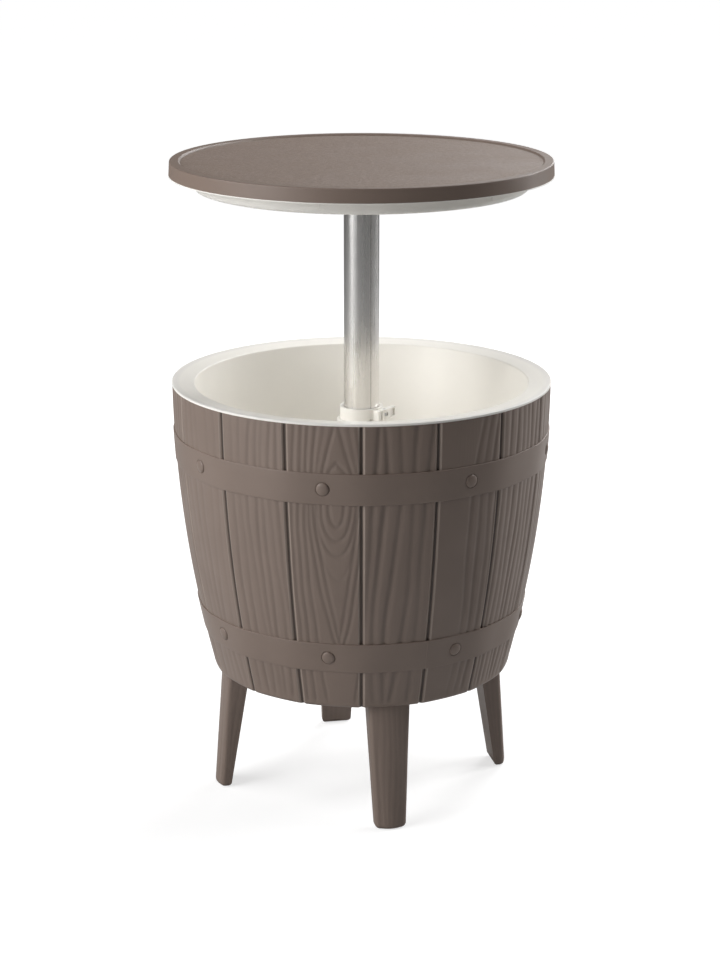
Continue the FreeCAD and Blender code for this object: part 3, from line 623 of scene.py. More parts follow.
@dataclass(frozen=True)
class LoopGrain:
    """Grooves in nested loops round a heart, where the board was cut across its rings.

    Each of the loops is (half width in degrees, height, pointedness, share of the depth). The ones in
    low hang down from the upper hoop and the ones in high stand up from it.
    """

    low: tuple = (
        (2.3, 26, 2.0, 1.0), (4.45, 45, 2.0, 1.0), (5.8, 65, 2.0, 0.9), (6.4, 98, 1.8, 0.35),
        (7.0, 182, 1.1, 0.9), (8.1, 200, 1.4, 1.0), (9.3, 340, 1.8, 0.9), (11.3, 500, 2.0, 1.0),
        (13.3, 800, 2.0, 0.9),
    )
    high: tuple = (
        (2.4, 12, 1.0, 1.0), (4.2, 70, 1.0, 1.0), (5.9, 140, 1.0, 0.5), (7.3, 304, 1.0, 0.9),
        (9.1, 600, 1.0, 0.9), (10.8, 900, 1.0, 0.9), (13.1, 900, 1.0, 0.9),
    )
    heart: float = 0.36
    half_degrees: float = 180.0 / STAVES
    low_z: float = 450.0
    high_z: float = 495.0
    deep: float = 0.98
    broad: float = 1.4
    waves: tuple = ((0.22, 37.0, 1.0), (0.12, 15.0, 1.7))
    calm: float = 4.0
    least: float = 1e-6

    def depth(self, across: Array, z: Array, half: Array, seed: float) -> Array:
        """How far the grooves go under the stave's face.

        Args:
            across: Places from -1 at the left edge to 1 at the right one.
            z: Heights in millimetres.
            half: Half the stave's width in millimetres.
            seed: A number that is the stave's own.

        Returns:
            Depths in millimetres.
        """
        upper = z > (self.low_z + self.high_z) / 2
        scale = half / self.half_degrees
        wander = sum(reach * np.sin(z / length + seeds * seed) for reach, length, seeds in self.waves)
        side = (across - self.heart) * self.half_degrees
        side = np.abs(side + wander * ramp(np.abs(side), 0.0, self.calm))
        total = np.zeros_like(across)
        for loops, start, way, part in (
            (self.low, self.low_z, -1.0, ~upper), (self.high, self.high_z, 1.0, upper)
        ):
            rise = np.clip((z - start) * way, 0, None) + 0 * across
            for width, height, point, share in loops:
                a, b = side / width + self.least, rise / height + self.least
                reach = (a ** point + b ** point) ** (1 / point)
                slope_a = (a / reach) ** (point - 1) / (width * scale)
                slope_b = (b / reach) ** (point - 1) / height
                apart = (reach - 1) / np.sqrt(slope_a ** 2 + slope_b ** 2)
                total += np.where(part, self.deep * share * groove(apart, self.broad), 0.0)
        return total


GRAINS = {
    Grain.CATHEDRAL: LoopGrain(),
    Grain.BROAD: StraightGrain(
        (
            (-0.58, -0.70, -0.81, -0.95, -1.05), (-0.34, -0.42, -0.53, -0.72, -0.63),
            (0.06, -0.02, -0.14, -0.34, -0.30), (0.42, 0.37, 0.32, 0.19, 0.02),
            (0.80, 0.70, 0.64, 0.58, 0.54),
        ),
        1.35, 2.5,
    ),
    Grain.HALF: StraightGrain(
        (
            (0.22, 0.10, 0.02, 0.14, 0.0), (0.49, 0.37, 0.32, 0.43, 0.30),
            (0.77, 0.66, 0.64, 0.69, 0.60), (0.93, 0.90, 0.88, 0.90, 0.92),
        ),
        1.0, 1.7,
    ),
    Grain.DENSE: StraightGrain(
        (
            (-0.85, -0.85, -0.90, -0.87, -0.88), (-0.60, -0.60, -0.66, -0.66, -0.68),
            (-0.32, -0.33, -0.44, -0.42, -0.46), (-0.04, -0.06, -0.12, -0.16, -0.20),
            (0.20, 0.18, 0.06, 0.06, 0.02), (0.40, 0.42, 0.30, 0.34, 0.26),
            (0.68, 0.62, 0.58, 0.60, 0.54), (0.90, 0.88, 0.84, 0.86, 0.82),
        ),
        1.0, 1.7,
    ),
    Grain.SOFT: StraightGrain(
        (
            (-0.94, -0.93, -0.93, -0.92, -0.92), (-0.64, -0.66, -0.62, -0.60, -0.60),
            (-0.38, -0.38, -0.38, -0.28, -0.26), (-0.11, -0.12, -0.14, 0.06, 0.04),
            (0.14, 0.14, 0.12, 0.27, 0.26), (0.33, 0.33, 0.36, 0.47, 0.44),
            (0.54, 0.56, 0.66, 0.75, 0.74), (0.75, 0.78, 0.88, 0.97, 0.96),
        ),
        0.85, 1.7,
    ),
    Grain.FAINT: StraightGrain(
        (
            (-0.70, -0.66, -0.60, -0.50, -0.52), (-0.40, -0.36, -0.26, -0.24, -0.16),
            (-0.12, -0.08, 0.06, 0.02, 0.10), (0.40, 0.42, 0.36, 0.28, 0.42),
            (0.70, 0.74, 0.70, 0.66, 0.72),
        ),
        0.52, 2.1,
    ),
}


# Tub

@dataclass
class BarrelShell:
    """The staved moulding with its hoops, rivet heads, floor and leg sockets."""

    base_z: float = 168.4
    top_z: float = 554.3
    top_radius: float = 247.9
    base_radius: float = 197.4
    bulge: float = 11.8
    flatness: float = 90.0
    wall: float = 4.5
    floor: float = 4.0
    base_round: float = 8.0
    seam_steps: tuple = (
        (0.0, 3.3), (0.5, 3.2), (1.0, 2.75), (2.2, 1.5), (3.2, 0.5), (3.7, 0.18), (4.2, 0.04), (4.8, 0.0),
    )
    seam_full: float = 2.2
    # Painted highlight on the seam's edges over the first span, and painted shade in its bottom that grows
    # over the second span with this strength.
    seam_highlight: tuple = (0.03, 2.0)
    seam_shade: tuple = (1.9, 0.8)
    seam_dark: float = 5.5
    grain_full: float = 0.9
    grain_side: tuple = (0.90, 0.07)
    grain_foot: tuple = (4.0, 10.0)
    grain_seed: float = 1.9
    stave_columns: int = 46
    base_rows: int = 6
    hoop_rows: int = 7
    wall_rows: int = 12
    wall_stride: int = 8
    row_step: float = 4.4
    fine_step: float = 2.2
    fine_spans: tuple = ((262.0, 288.0), (352.0, 432.0), (494.0, 512.0))
    hoop_middles: tuple = (242.4, 473.2)
    hoop_height: float = 40.5
    hoop_steps: tuple = ((0.0, 0.45), (0.15, 0.78), (0.45, 0.96), (0.9, 1.0))
    flash_height: float = 0.35
    flash_seams: tuple = (1, 9)
    rivet_rings: tuple = (
        (10.2, 0.0), (9.5, -0.08), (9.15, -0.55), (8.75, -0.72), (8.35, -0.6), (8.1, 0.15), (7.75, 0.7),
        (6.9, 1.22), (5.4, 1.75), (3.4, 2.17), (1.2, 2.38),
    )
    rivet_block: float = 12.5
    rivet_sides: int = 40
    drip_hole: tuple = (0.0, 0.0, 24.8, 48)
    spout_hole: tuple = (21.85, 109.85, 10.9, 32)
    screw_circle: float = 32.0
    screw_hole: tuple = (1.85, 16)
    socket_middle: float = 173.5
    socket_pocket: tuple = (20.6, 34.6, 28.3)
    socket_wall: float = 3.0
    grains: tuple = (
        Grain.BROAD, Grain.HALF, Grain.DENSE, Grain.SOFT,
        Grain.CATHEDRAL, Grain.FAINT, Grain.BROAD, Grain.DENSE,
        Grain.HALF, Grain.SOFT, Grain.CATHEDRAL, Grain.FAINT,
        Grain.DENSE, Grain.FAINT, Grain.SOFT, Grain.CATHEDRAL,
    )
    mirrored: tuple = (4, 6, 9, 12)

    def __post_init__(self) -> None:
        """Works out the arc that each stave is bent to."""
        drop = np.array([self.base_radius, self.base_z])
        chord = np.array([self.top_radius, self.top_z]) - drop
        length = math.hypot(*chord)
        self.arc = length ** 2 / (8 * self.bulge) + self.bulge / 2
        normal = np.array([chord[1], -chord[0]]) / length
        self.arc_middle = drop + chord / 2 - normal * (self.arc - self.bulge)
        self.half = 180.0 / STAVES

    def radius(self, z: Array, offset: Array = 0.0) -> Array:
        """The radius at the middle of a stave."""
        reach = self.arc + offset
        return self.arc_middle[0] + np.sqrt(reach ** 2 - (z - self.arc_middle[1]) ** 2)

    def face(self, middle: Array, turn: Array, on_hoop: Array) -> Array:
        """The radius of a stave's flattened face, or of the rounder hoop on it.

        Args:
            middle: The radius at the stave's middle.
            turn: Degrees from the middle.
            on_hoop: Whether the place is on a hoop.

        Returns:
            The radius there.
        """
        flat = self.flatness
        edge = math.radians(self.half)
        wood, rim = (
            np.sqrt((middle + flat) ** 2 - (flat * np.sin(a)) ** 2) - flat * np.cos(a)
            for a in (np.radians(turn), edge)
        )
        return np.where(on_hoop, middle + (rim - middle) * wave(math.pi * turn / self.half), wood)

    def wood_levels(self, low: float, high: float) -> list:
        """Heights of the rows on a stretch of wood, closer where the grain turns.

        Args:
            low: Where it starts.
            high: Where it ends.

        Returns:
            The heights.
        """
        stops = sorted({low, high, *(stop for span in self.fine_spans for stop in span if low < stop < high)})
        levels = [low]
        for start, end in zip(stops, stops[1:]):
            fine = any(a <= (start + end) / 2 <= b for a, b in self.fine_spans)
            count = max(1, round((end - start) / (self.fine_step if fine else self.row_step)))
            levels += np.linspace(start, end, count + 1)[1:].tolist()
        return levels

    def rows(self) -> tuple:
        """The grid's rows from the foot up.

        Returns:
            Heights, radii at the stave's middle, the hoop that each row is on, or -1, and
            whether it is on a hoop's flat face.
        """
        steps = self.hoop_steps
        run_in, proud = steps[-1]
        turn_z = low = self.base_z + self.base_round
        table = []
        for n, middle in enumerate(self.hoop_middles):
            high = middle - self.hoop_height / 2
            table += [(level, 0.0, -1, False) for level in self.wood_levels(low, high)]
            low = middle + self.hoop_height / 2
            inner = np.linspace(high + run_in, low - run_in, self.hoop_rows + 2)[1:-1]
            table += [(high + rise, out, n, rise == run_in) for rise, out in steps]
            table += [(level, proud, n, True) for level in inner]
            table += [(low - rise, out, n, rise == run_in) for rise, out in steps[::-1]]
        table += [(level, 0.0, -1, False) for level in self.wood_levels(low, self.top_z)]
        z, offset, hoop, flat = map(np.array, zip(*table))
        radius = self.radius(z, offset)
        bend = np.radians(np.linspace(90, 0, self.base_rows + 1)[:-1])
        z = np.concatenate([turn_z - self.base_round * np.sin(bend), z])
        radius = np.concatenate([radius[0] - self.base_round * (1 - np.cos(bend)), radius])
        before = (self.base_rows, 0)
        return z, radius, np.pad(hoop, before, constant_values=-1), np.pad(flat, before)

    def columns(self, radius: Array) -> tuple:
        """One stave's columns: their degrees from its middle, and the seam's depth there.

        Args:
            radius: Each row's radius.

        Returns:
            Degrees and seam depths, with a row for each radius.
        """
        steps = np.array(self.seam_steps)
        near = self.half - np.degrees(np.arcsin(steps[:, 0][None, :] / radius[:, None]))
        share = np.linspace(0, 1, self.stave_columns + 1)[1:-1]
        last = near[:, -1:]
        middle = -last + 2 * last * share
        turn = np.concatenate([-near, middle, near[:, ::-1][:, :-1]], axis=1)
        depth = np.concatenate([steps[:, 1], 0 * share, steps[::-1, 1][:-1]])
        return turn, np.broadcast_to(depth, turn.shape)

    def build(self) -> None:
        """Makes the moulding and dresses it."""
        z, middle, hoop, flat = self.rows()
        turn, seam = self.columns(middle)
        on_hoop = (hoop >= 0)[:, None]
        seam = np.where(on_hoop, 0.0, seam)
        across = turn / self.half
        edge = 1 - ramp(np.abs(across), *self.grain_side)
        end = ramp(z - self.base_z, *self.grain_foot)[:, None]
        # Painted highlight on the seam's edges, and painted shade in its bottom.
        low, high = self.seam_highlight
        painted_highlight = np.where((seam > low) & (seam < high), 1.0, 0.0)
        dark = self.seam_dark * ramp(seam, *self.seam_shade)
        half = middle[:, None] * math.radians(self.half)
        grids, shade_and_highlight = [], []
        for n in range(STAVES):
            way = -1.0 if n in self.mirrored else 1.0
            grain = GRAINS[self.grains[n]].depth(across * way, z[:, None], half, self.grain_seed * n)
            grain = np.where(on_hoop, 0.0, grain * edge * end)
            radius = self.face(middle[:, None], turn, on_hoop) - seam - grain
            if n in self.flash_seams:
                radius[hoop == 0, 0] += self.flash_height
            heading = (n + 0.5) * 2 * self.half + turn
            grids.append(polar(radius, heading, z[:, None]))
            # Painted shade grows with groove and seam depth. Seam edges get -1, which paints a highlight.
            depth = np.clip(grain / self.grain_full + seam / self.seam_full, 0, 1)
            shade_and_highlight.append((depth + dark) * (1 - painted_highlight) - painted_highlight)
        mesh = MeshBuilder()
        skin = mesh.add(np.concatenate(grids, axis=1), relief=np.concatenate(shade_and_highlight, axis=1), wood=~on_hoop)
        keep = np.ones((skin.shape[0] - 1, skin.shape[1]), bool)
        for n in range(1, STAVES, 2):
            for which, height in enumerate(self.hoop_middles):
                self.rivet(mesh, skin, keep, n, np.flatnonzero(flat & (hoop == which)), height, turn)
        mesh.quads(skin, keep=keep)
        self.inner_side(mesh, skin)
        mesh.piece("barrel_staves", TAUPE_WOOD, "tub", "barrel_shell")

    def rivet(
        self, mesh: MeshBuilder, skin: Array, keep: Array, stave: int,
        rows: Array, height: float, turn: Array,
    ) -> None:
        """Puts a domed rivet head in its ring-shaped ditch in a hoop.

        Args:
            mesh: The moulding's mesh.
            skin: The outer grid's point numbers.
            keep: Which faces of the grid stay. The ones under the rivet are taken out.
            stave: The stave that it is on.
            rows: The rows of that hoop's flat face.
            height: The hoop's middle.
            turn: Each column's degrees from the stave's middle, for each row.
        """
        proud = self.hoop_steps[-1][1]
        seat = float(self.radius(height, proud))
        first = stave * turn.shape[1]
        within = np.flatnonzero(np.abs(np.radians(turn[rows[0]])) * seat < self.rivet_block)
        left, right = within[0], within[-1]
        low, high = rows[0], rows[-1]
        keep[low:high, first + left:first + right] = False
        border = [(low, c) for c in range(left, right + 1)]
        border += [(r, right) for r in range(low + 1, high + 1)]
        border += [(high, c) for c in range(right - 1, left - 1, -1)]
        border += [(r, left) for r in range(high - 1, low, -1)]
        r, c = np.array(border).T
        numbers = skin[r, first + c]
        up = np.concatenate(mesh.points)[numbers, 2] - height
        outer = pairs(numbers, np.stack([np.radians(turn[r, c]) * seat, up], 1))
        around = ring_angles(self.rivet_sides)
        rings = np.array(self.rivet_rings)
        across, rise = rings[:, :1] * np.cos(around), rings[:, :1] * np.sin(around)
        degrees = np.degrees(across / seat)
        hoop = self.face(self.radius(height + rise, proud), degrees, np.array(True))
        heading = (stave + 0.5) * 2 * self.half + degrees
        head = polar(hoop + rings[:, 1:], heading, height + rise)
        # The ditch round the head gets painted shade from its depth.
        grid = mesh.tube(head, ends=1, relief=np.clip(-rings[:, 1:], 0, 1))
        inner = pairs(grid[0], np.stack([across[0], rise[0]], 1))
        mesh.faces.extend(fill([outer, inner]))

    def inner_side(self, mesh: MeshBuilder, skin: Array) -> None:
        """Adds the round inner wall, and the floor with its holes and leg sockets.

        Args:
            mesh: The moulding's mesh.
            skin: The outer grid's point numbers, from the foot up.
        """
        floor_z = self.base_z + self.floor
        columns = skin.shape[1]
        heads = np.arange(0, columns, self.wall_stride)
        places = np.concatenate(mesh.points)
        rim = places[skin[-1, heads]]
        turn = np.degrees(np.arctan2(rim[:, 0], -rim[:, 1]))
        heights = np.linspace(self.top_z, floor_z, self.wall_rows)[:, None]
        wall_places = polar(self.radius(heights, -self.wall), turn, heights)
        wall = mesh.tube(wall_places)
        ends = np.append(heads, columns)
        for n, start in enumerate(heads):
            run = skin[-1, np.arange(start, ends[n + 1] + 1) % columns]
            mesh.faces.append([*run.tolist(), int(wall[0, (n + 1) % len(heads)]), int(wall[0, n])])
        under = [pairs(skin[0], places[skin[0]])]
        over = [pairs(wall[-1], wall_places[-1])]
        quarters = LEG_DEGREES + 90.0 * np.arange(4)
        screws = [(*polar(self.screw_circle, degrees, 0.0)[:2], *self.screw_hole) for degrees in quarters]
        levels = np.array([[self.base_z], [floor_z]])
        for x, y, radius, sides in (self.drip_hole, self.spout_hole, *screws):
            hole = polar(radius, np.degrees(ring_angles(sides)), levels) + (x, y, 0)
            grid = mesh.tube(hole, flip=True)
            under.append(pairs(grid[0], hole[0]))
            over.append(pairs(grid[1], hole[1]))
        deep, wide, tall = self.socket_pocket
        grow = 2 * self.socket_wall
        for degrees in quarters:
            top = self.base_z + tall
            for size, levels, loops in (
                ((deep, wide), (self.base_z, top), under),
                ((deep + grow, wide + grow), (floor_z, top + self.socket_wall), over),
            ):
                places = box(degrees, self.socket_middle, size, levels)
                grid = mesh.tube(places, flip=loops is under, ends=1)
                loops.append(pairs(grid[0], places[0]))
        mesh.faces.extend(face[::-1] for face in fill(under))
        mesh.faces.extend(fill(over))


@dataclass
class Leg:
    """A tapering leg with faint upright grain and a tenon on its top."""

    name: str
    node: str
    degrees: float
    height: float = 168.4
    top_width: float = 55.0
    foot_width: float = 41.0
    top_inner: float = 157.0
    top_outer: float = 190.0
    foot_inner: float = 184.0
    foot_outer: float = 202.5
    crown: float = 3.5
    corner: float = 7.0
    corner_shrink: float = 0.9
    sole_round: float = 6.5
    sole_rows: int = 7
    rows: int = 53
    front_points: int = 25
    corner_points: int = 5
    flank_points: int = 11
    back_points: int = 12
    grain_apart: float = 8.5
    grain_depth: float = 0.20
    grain_full: float = 0.3
    grain_foot: float = 12.0
    drift: tuple = (0.22, 31.0, 9.0)
    tenon_width: float = 34.0
    tenon_depth: float = 20.0
    tenon_height: float = 28.0
    tenon_root: float = 2.0

    def outline(self, z: float, inset: float) -> Array:
        """The leg's outline at a height, as points of radius and side.

        Args:
            z: The height.
            inset: How far it is drawn in on every side.

        Returns:
            Points in order round it.
        """
        share = z / self.height
        inner = self.foot_inner + (self.top_inner - self.foot_inner) * share + inset
        outer = self.foot_outer + (self.top_outer - self.foot_outer) * share - inset
        half = (self.foot_width + (self.top_width - self.foot_width) * share) / 2 - inset
        corner = self.corner - self.corner_shrink * inset
        crown_half = half - corner
        side = np.linspace(-crown_half, crown_half, self.front_points)
        bow = outer - self.crown * (side / crown_half) ** 2
        shoulder = outer - self.crown
        turn = np.radians(np.linspace(0, 90, self.corner_points + 1))[1:]
        bend_x = shoulder - corner + corner * np.cos(turn)
        bend_y = crown_half + corner * np.sin(turn)
        flank_x = np.linspace(shoulder - corner, inner, self.flank_points + 1)[1:]
        back_y = np.linspace(half, -half, self.back_points + 2)[1:-1]
        front, right, flank, back = (
            np.stack(np.broadcast_arrays(out, across), 1)
            for out, across in ((bow, side), (bend_x, bend_y), (flank_x, half), (inner, back_y))
        )
        mirror = (1, -1)
        return np.concatenate([front, right, flank, back, flank[::-1] * mirror, right[::-1] * mirror])

    def build(self) -> None:
        """Makes the leg and dresses it."""
        rise = self.sole_round
        bend = np.radians(np.linspace(0, 90, self.sole_rows))
        levels = [(rise * (1 - math.cos(t)), rise * (1 - math.sin(t))) for t in bend]
        levels += [(float(z), 0.0) for z in np.linspace(rise, self.height, self.rows + 1)[1:]]
        outlines = np.stack([self.outline(z, inset) for z, inset in levels])
        z = np.array([level for level, _ in levels])
        centre = outlines.mean(axis=1, keepdims=True)
        away = outlines - centre
        away /= np.linalg.norm(away, axis=2, keepdims=True)
        step = np.linalg.norm(np.diff(outlines[-1], axis=0, append=outlines[-1][:1]), axis=1)
        along = np.cumsum(step)[None, :]
        swing, rise, run = self.drift
        count = along / self.grain_apart + swing * np.sin(z[:, None] / rise + along / run + self.degrees)
        depth = self.grain_depth * wave(2 * math.pi * count) ** 2 * ramp(z, 0.0, self.grain_foot)[:, None]
        outlines = outlines - away * depth[..., None]
        mesh = MeshBuilder()
        places = polar(outlines[..., 0], self.degrees, z[:, None], outlines[..., 1])
        # The grain grooves get painted shade from their depth.
        mesh.tube(places, ends=2, relief=np.clip(depth / self.grain_full, 0, 1), wood=1.0)
        middle = (self.top_inner + self.top_outer) / 2
        levels = (self.height - self.tenon_root, self.height + self.tenon_height)
        mesh.tube(box(self.degrees, middle, (self.tenon_depth, self.tenon_width), levels), ends=2)
        mesh.piece(self.name, TAUPE_LEG, "tub", self.node)


# Screws

@dataclass
class ScrewSet:
    """A circle of pan-head screws with a cross recess and a forming thread.

    The screws point up or down, and stand with their heads' bearing faces at one height.
    """

    name: str
    node: str
    body: str
    circle: float
    first_degrees: float
    count: int
    height: float
    upward: bool = True
    shank: float = 1.8
    core: float = 1.3
    length: float = 12.0
    pitch: float = 1.4
    pitch_rows: int = 6
    thread_start: float = 0.25
    crest: tuple = (1.6, 3.6)
    point: float = 2.2
    tip: float = 0.12
    head: tuple = ((2.2, 2.05), (2.12, 2.6), (1.85, 3.05), (1.4, 3.38), (0.8, 3.56), (0.25, 3.6), (0.0, 3.45))
    recess_reach: float = 1.65
    recess_half: float = 0.42
    recess_depth: float = 1.3
    recess_base: float = 0.62
    spin_step: float = 0.7
    sides: int = 24

    def recess(self, share: float) -> Array:
        """The cross recess's outline.

        Args:
            share: The share of its full size.

        Returns:
            Points in the plane, counterclockwise.
        """
        a, b = self.recess_reach * share, self.recess_half * share
        quarter = np.array([(a, -b), (a, b), (b, b)])
        step = np.array([[0, 1], [-1, 0]])
        return np.concatenate([quarter @ np.linalg.matrix_power(step, n) for n in range(4)])

    def grid(self) -> Array:
        """The outside of a screw that points up.

        Returns:
            Points in rows round its axis, from the crown to the tip.
        """
        around = ring_angles(self.sides)
        rows = [(-depth, np.full(self.sides, radius)) for depth, radius in self.head]
        rows.append((0.0, np.full(self.sides, self.core)))
        height, slope = self.crest
        for depth in np.arange(self.thread_start, self.length, self.pitch / self.pitch_rows):
            phase = (depth / self.pitch - around / (2 * math.pi)) % 1.0
            crest = np.clip(height - slope * np.abs(phase - 0.5), 0, 1)
            narrow = min(1.0, self.tip + (self.length - depth) / self.point)
            rows.append((depth, (self.core + (self.shank - self.core) * crest) * narrow))
        rows.append((self.length, np.full(self.sides, self.tip)))
        return np.stack([
            np.stack([radius * np.cos(around), radius * np.sin(around), np.full(self.sides, depth)], -1)
            for depth, radius in rows
        ])

    def build(self) -> None:
        """Makes the screws as one piece and dresses it."""
        mesh = MeshBuilder()
        way = 1.0 if self.upward else -1.0
        skin = self.grid()
        crown = -self.head[0][0]
        outlines = ((self.recess(1.0), crown), (self.recess(self.recess_base), crown + self.recess_depth))
        pocket = np.stack([np.column_stack([flat, np.full(len(flat), level)]) for flat, level in outlines])
        for n in range(self.count):
            degrees = self.first_degrees + 360.0 * n / self.count
            seat = polar(self.circle, degrees, self.height)
            c, s = math.cos(self.spin_step * n), math.sin(self.spin_step * n)
            turn = np.array([[c, s * way, 0], [-s, c * way, 0], [0, 0, way]])
            outside = mesh.tube(skin @ turn + seat, ends=1)
            inner = mesh.tube(pocket @ turn + seat, flip=True, ends=1)
            loops = [pairs(outside[0], skin[0]), pairs(inner[0], pocket[0])]
            mesh.faces.extend(face[::-1] for face in fill(loops))
        mesh.piece(self.name, STEEL, self.body, self.node, sharp=35.0)


@dataclass
class PanLip:
    """The pan's thin lip, which closes the lower edge of the table top's skirt."""

    inner: float = 243.6
    outer: float = 247.62
    low: float = 826.02
    high: float = 827.3
    cover: float = 247.2
    sheet: float = 0.4
    round: float = 0.25
    round_points: int = 5
    sides: int = 256

    def build(self) -> None:
        """Makes the lip and dresses it."""
        bend = np.radians(np.linspace(0, 90, self.round_points))
        long, short = self.round * (1 - np.sin(bend)), self.round * (1 - np.cos(bend))
        upper = self.low + self.sheet
        outline = [(self.inner, upper), (self.inner, self.low)]
        outline += [*zip(self.outer - long, self.low + short), *zip(self.outer - short, self.high - long)]
        outline += [(self.cover, self.high), (self.cover, upper)]
        places = np.array(outline)
        mesh = MeshBuilder()
        grid = mesh.tube(polar(places[:, :1], np.degrees(ring_angles(self.sides)), places[:, 1:]))
        mesh.quads(grid[[-1, 0]])
        mesh.piece("pan_lip", CREAM, "table", sharp=50.0)


SCREW_SETS = (
    ScrewSet("sleeve_fixing_screws", "sleeve_screws", "tub", 32.0, LEG_DEGREES, 4, 168.4),
    ScrewSet("leg_fixing_screws", "leg_screws", "tub", 173.5, LEG_DEGREES, 4, 199.7, upward=False),
    ScrewSet("lid_fixing_screws", "lid_screws", "table", 150.0, 0.0, 8, 808.0),
    ScrewSet("socket_fixing_screws", "socket_screws", "table", 38.0, 45.0, 4, 808.0),
)


# Studio

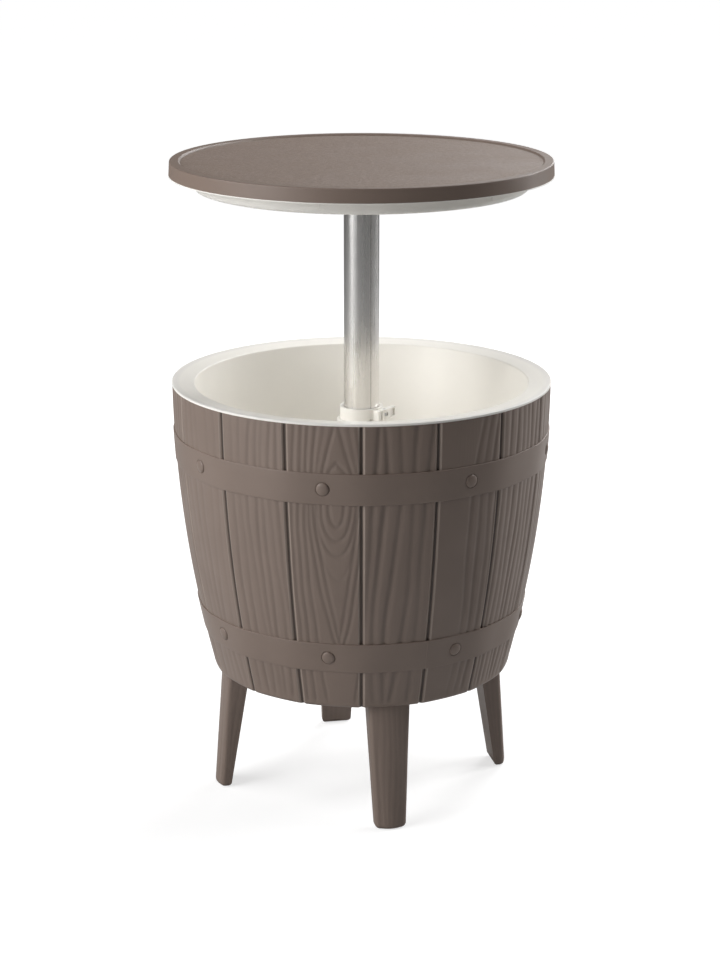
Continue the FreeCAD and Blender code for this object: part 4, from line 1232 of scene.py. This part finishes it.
@dataclass
class Studio:
    """The floor, the lamps, the world and the camera."""

    floor_size: float = 30.0
    camera_place: tuple = (-0.002, -3.0785, 1.29187)
    camera_pitch: float = 15.871
    lens: float = 90.17
    sensor: float = 36.0
    lamp_distance: float = 3.0
    aim_height: float = 0.5
    lamps: dict = field(default_factory=lambda: {
        "key_left": (-66.0, 20.0, (1.6, 2.2), 39.0),
        "key_front": (-50.0, 22.0, (1.6, 2.0), 31.0),
        "high_left": (-95.0, 42.0, (1.4, 1.2), 24.0),
        "high_right": (95.0, 42.0, (1.4, 1.2), 26.0),
        "edge_right": (118.0, 18.0, (0.6, 1.6), 33.0),
        "back_low": (155.0, 25.0, (1.0, 1.8), 26.0),
        "back_high": (155.0, 45.0, (1.4, 1.2), 22.0),
    })
    dark_side: float = 38.0
    glossy_light: float = 0.11
    glossy_dark: float = 0.03
    floor_color: float = 0.55
    floor_near: float = 0.66
    floor_far: float = 1.0
    floor_fade: tuple = (1.1, 2.2)
    floor_gloss: float = 0.08

    def floor(self) -> None:
        """Lays the pale floor, which keeps the object's shadow and is clear from below."""
        half = self.floor_size / 2
        corners = [(-half, -half, 0), (half, -half, 0), (half, half, 0), (-half, half, 0)]
        mesh = bpy.data.meshes.new("studio_floor")
        mesh.from_pydata(corners, [], [(0, 1, 2, 3)])
        made = bpy.data.materials.new("studio_floor")
        made.use_nodes = True
        w = NodeMaker(made.node_tree)
        rays = w.node("LightPath")
        away = w.node("VectorMath", {0: w.place()}, operation="LENGTH")
        glow = w.span(away.outputs["Value"], *self.floor_fade, self.floor_near, self.floor_far)
        seen = w.math("MULTIPLY", rays.outputs["Is Camera Ray"], glow)
        gloss = w.math("MULTIPLY", rays.outputs["Is Glossy Ray"], self.floor_gloss)
        shader = made.node_tree.nodes["Principled BSDF"]
        w.feed(shader, {
            "Base Color": (*[self.floor_color] * 3, 1), "Roughness": 1.0, "Specular IOR Level": 0.0,
            "Emission Color": (1, 1, 1, 1), "Emission Strength": w.math("ADD", seen, gloss),
        })
        below = w.node("NewGeometry").outputs["Backfacing"]
        clear = w.node("BsdfTransparent").outputs[0]
        sides = w.node("MixShader", {0: below, 1: shader.outputs[0], 2: clear})
        w.feed(made.node_tree.nodes["Material Output"], {"Surface": sides.outputs[0]})
        mesh.materials.append(made)
        new_object("studio_floor", mesh)

    def world(self) -> None:
        """Sets a pale world: white where it is seen, dimmer where it lights."""
        world = bpy.data.worlds.new("studio")
        bpy.context.scene.world = world
        world.use_nodes = True
        w = NodeMaker(world.node_tree)
        rays = w.node("LightPath")
        seen = w.math("MAXIMUM", rays.outputs["Is Camera Ray"], rays.outputs["Is Transmission Ray"])
        turn = math.radians(self.dark_side)
        inputs = {0: w.node("TexCoord").outputs["Generated"], 1: (math.sin(turn), -math.cos(turn), 0.0)}
        facing = w.node("VectorMath", inputs, operation="DOT_PRODUCT").outputs["Value"]
        glossy = w.span(facing, -1.0, 1.0, self.glossy_light, self.glossy_dark)
        light = w.math("MULTIPLY", glossy, rays.outputs["Is Glossy Ray"])
        strength = w.math("MAXIMUM", seen, light)
        w.feed(world.node_tree.nodes["Background"], {"Color": (1, 1, 1, 1), "Strength": strength})

    def lamp(self, name: str, degrees: float, rise: float, size: tuple, power: float) -> None:
        """Adds a soft box that looks at the object.

        Args:
            name: The lamp's name.
            degrees: Its direction from the front, turning towards +X.
            rise: How many degrees it stands over the object's middle.
            size: Its width and height in metres.
            power: Its power in watts.
        """
        light = bpy.data.lights.new(name, "AREA")
        light.shape = "RECTANGLE"
        light.size, light.size_y = size
        light.energy = power
        lamp = new_object(name, light)
        lift = math.radians(rise)
        away = self.lamp_distance
        lamp.location = polar(away * math.cos(lift), degrees, self.aim_height + away * math.sin(lift))
        lamp.rotation_mode = "QUATERNION"
        aim = Vector((0.0, 0.0, self.aim_height)) - lamp.location
        lamp.rotation_quaternion = aim.to_track_quat("-Z", "Y")

    def camera(self) -> None:
        """Sets the camera where the photograph was taken from."""
        data = bpy.data.cameras.new("camera")
        data.lens = self.lens
        data.sensor_width = self.sensor
        camera = new_object("camera", data)
        camera.location = self.camera_place
        camera.rotation_euler = (math.radians(90 - self.camera_pitch), 0, 0)
        bpy.context.scene.camera = camera

    def build(self) -> None:
        """Sets up the whole studio."""
        self.floor()
        self.world()
        for name, lamp in self.lamps.items():
            self.lamp(name, *lamp)
        self.camera()
        bpy.context.scene.view_settings.view_transform = "Standard"


# CAD nodes that keep their shape

KEPT_NODES = {
    LINER: ("ice_liner",),
    CREAM: ("liner_column", "guide_sleeve", "lock_collar", "lock_lever", "lid_pan"),
    TAUPE_TOP: ("lid_top",),
    POST: ("post_tube",),
    GREY: ("post_socket", "post_foot", "drain_tube", "drain_nut", "drain_cap"),
    STEEL: ("clamp_bolt", "clamp_nut", "lever_pin", "post_pin", "foot_pin"),
    RUBBER: ("drain_seal", "cap_seal"),
}


def dress_kept_nodes() -> None:
    """Gives the CAD nodes that stay their materials."""
    for finish, names in KEPT_NODES.items():
        for name in names:
            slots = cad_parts[name].data.materials
            slots.clear()
            slots.append(finish.material())
            log.info("%s: %s", name, finish.name)


def main() -> None:
    """Builds every sub-assembly in order."""
    logging.basicConfig(level=logging.INFO, format="%(message)s")
    Studio().build()
    dress_kept_nodes()
    BarrelShell().build()
    for n, side in enumerate(SIDES):
        Leg(f"grained_leg_{side}", f"leg_{side}", LEG_DEGREES + 90.0 * n).build()
    PanLip().build()
    for screws in SCREW_SETS:
        screws.build()


if __name__ == "__main__":
    main()
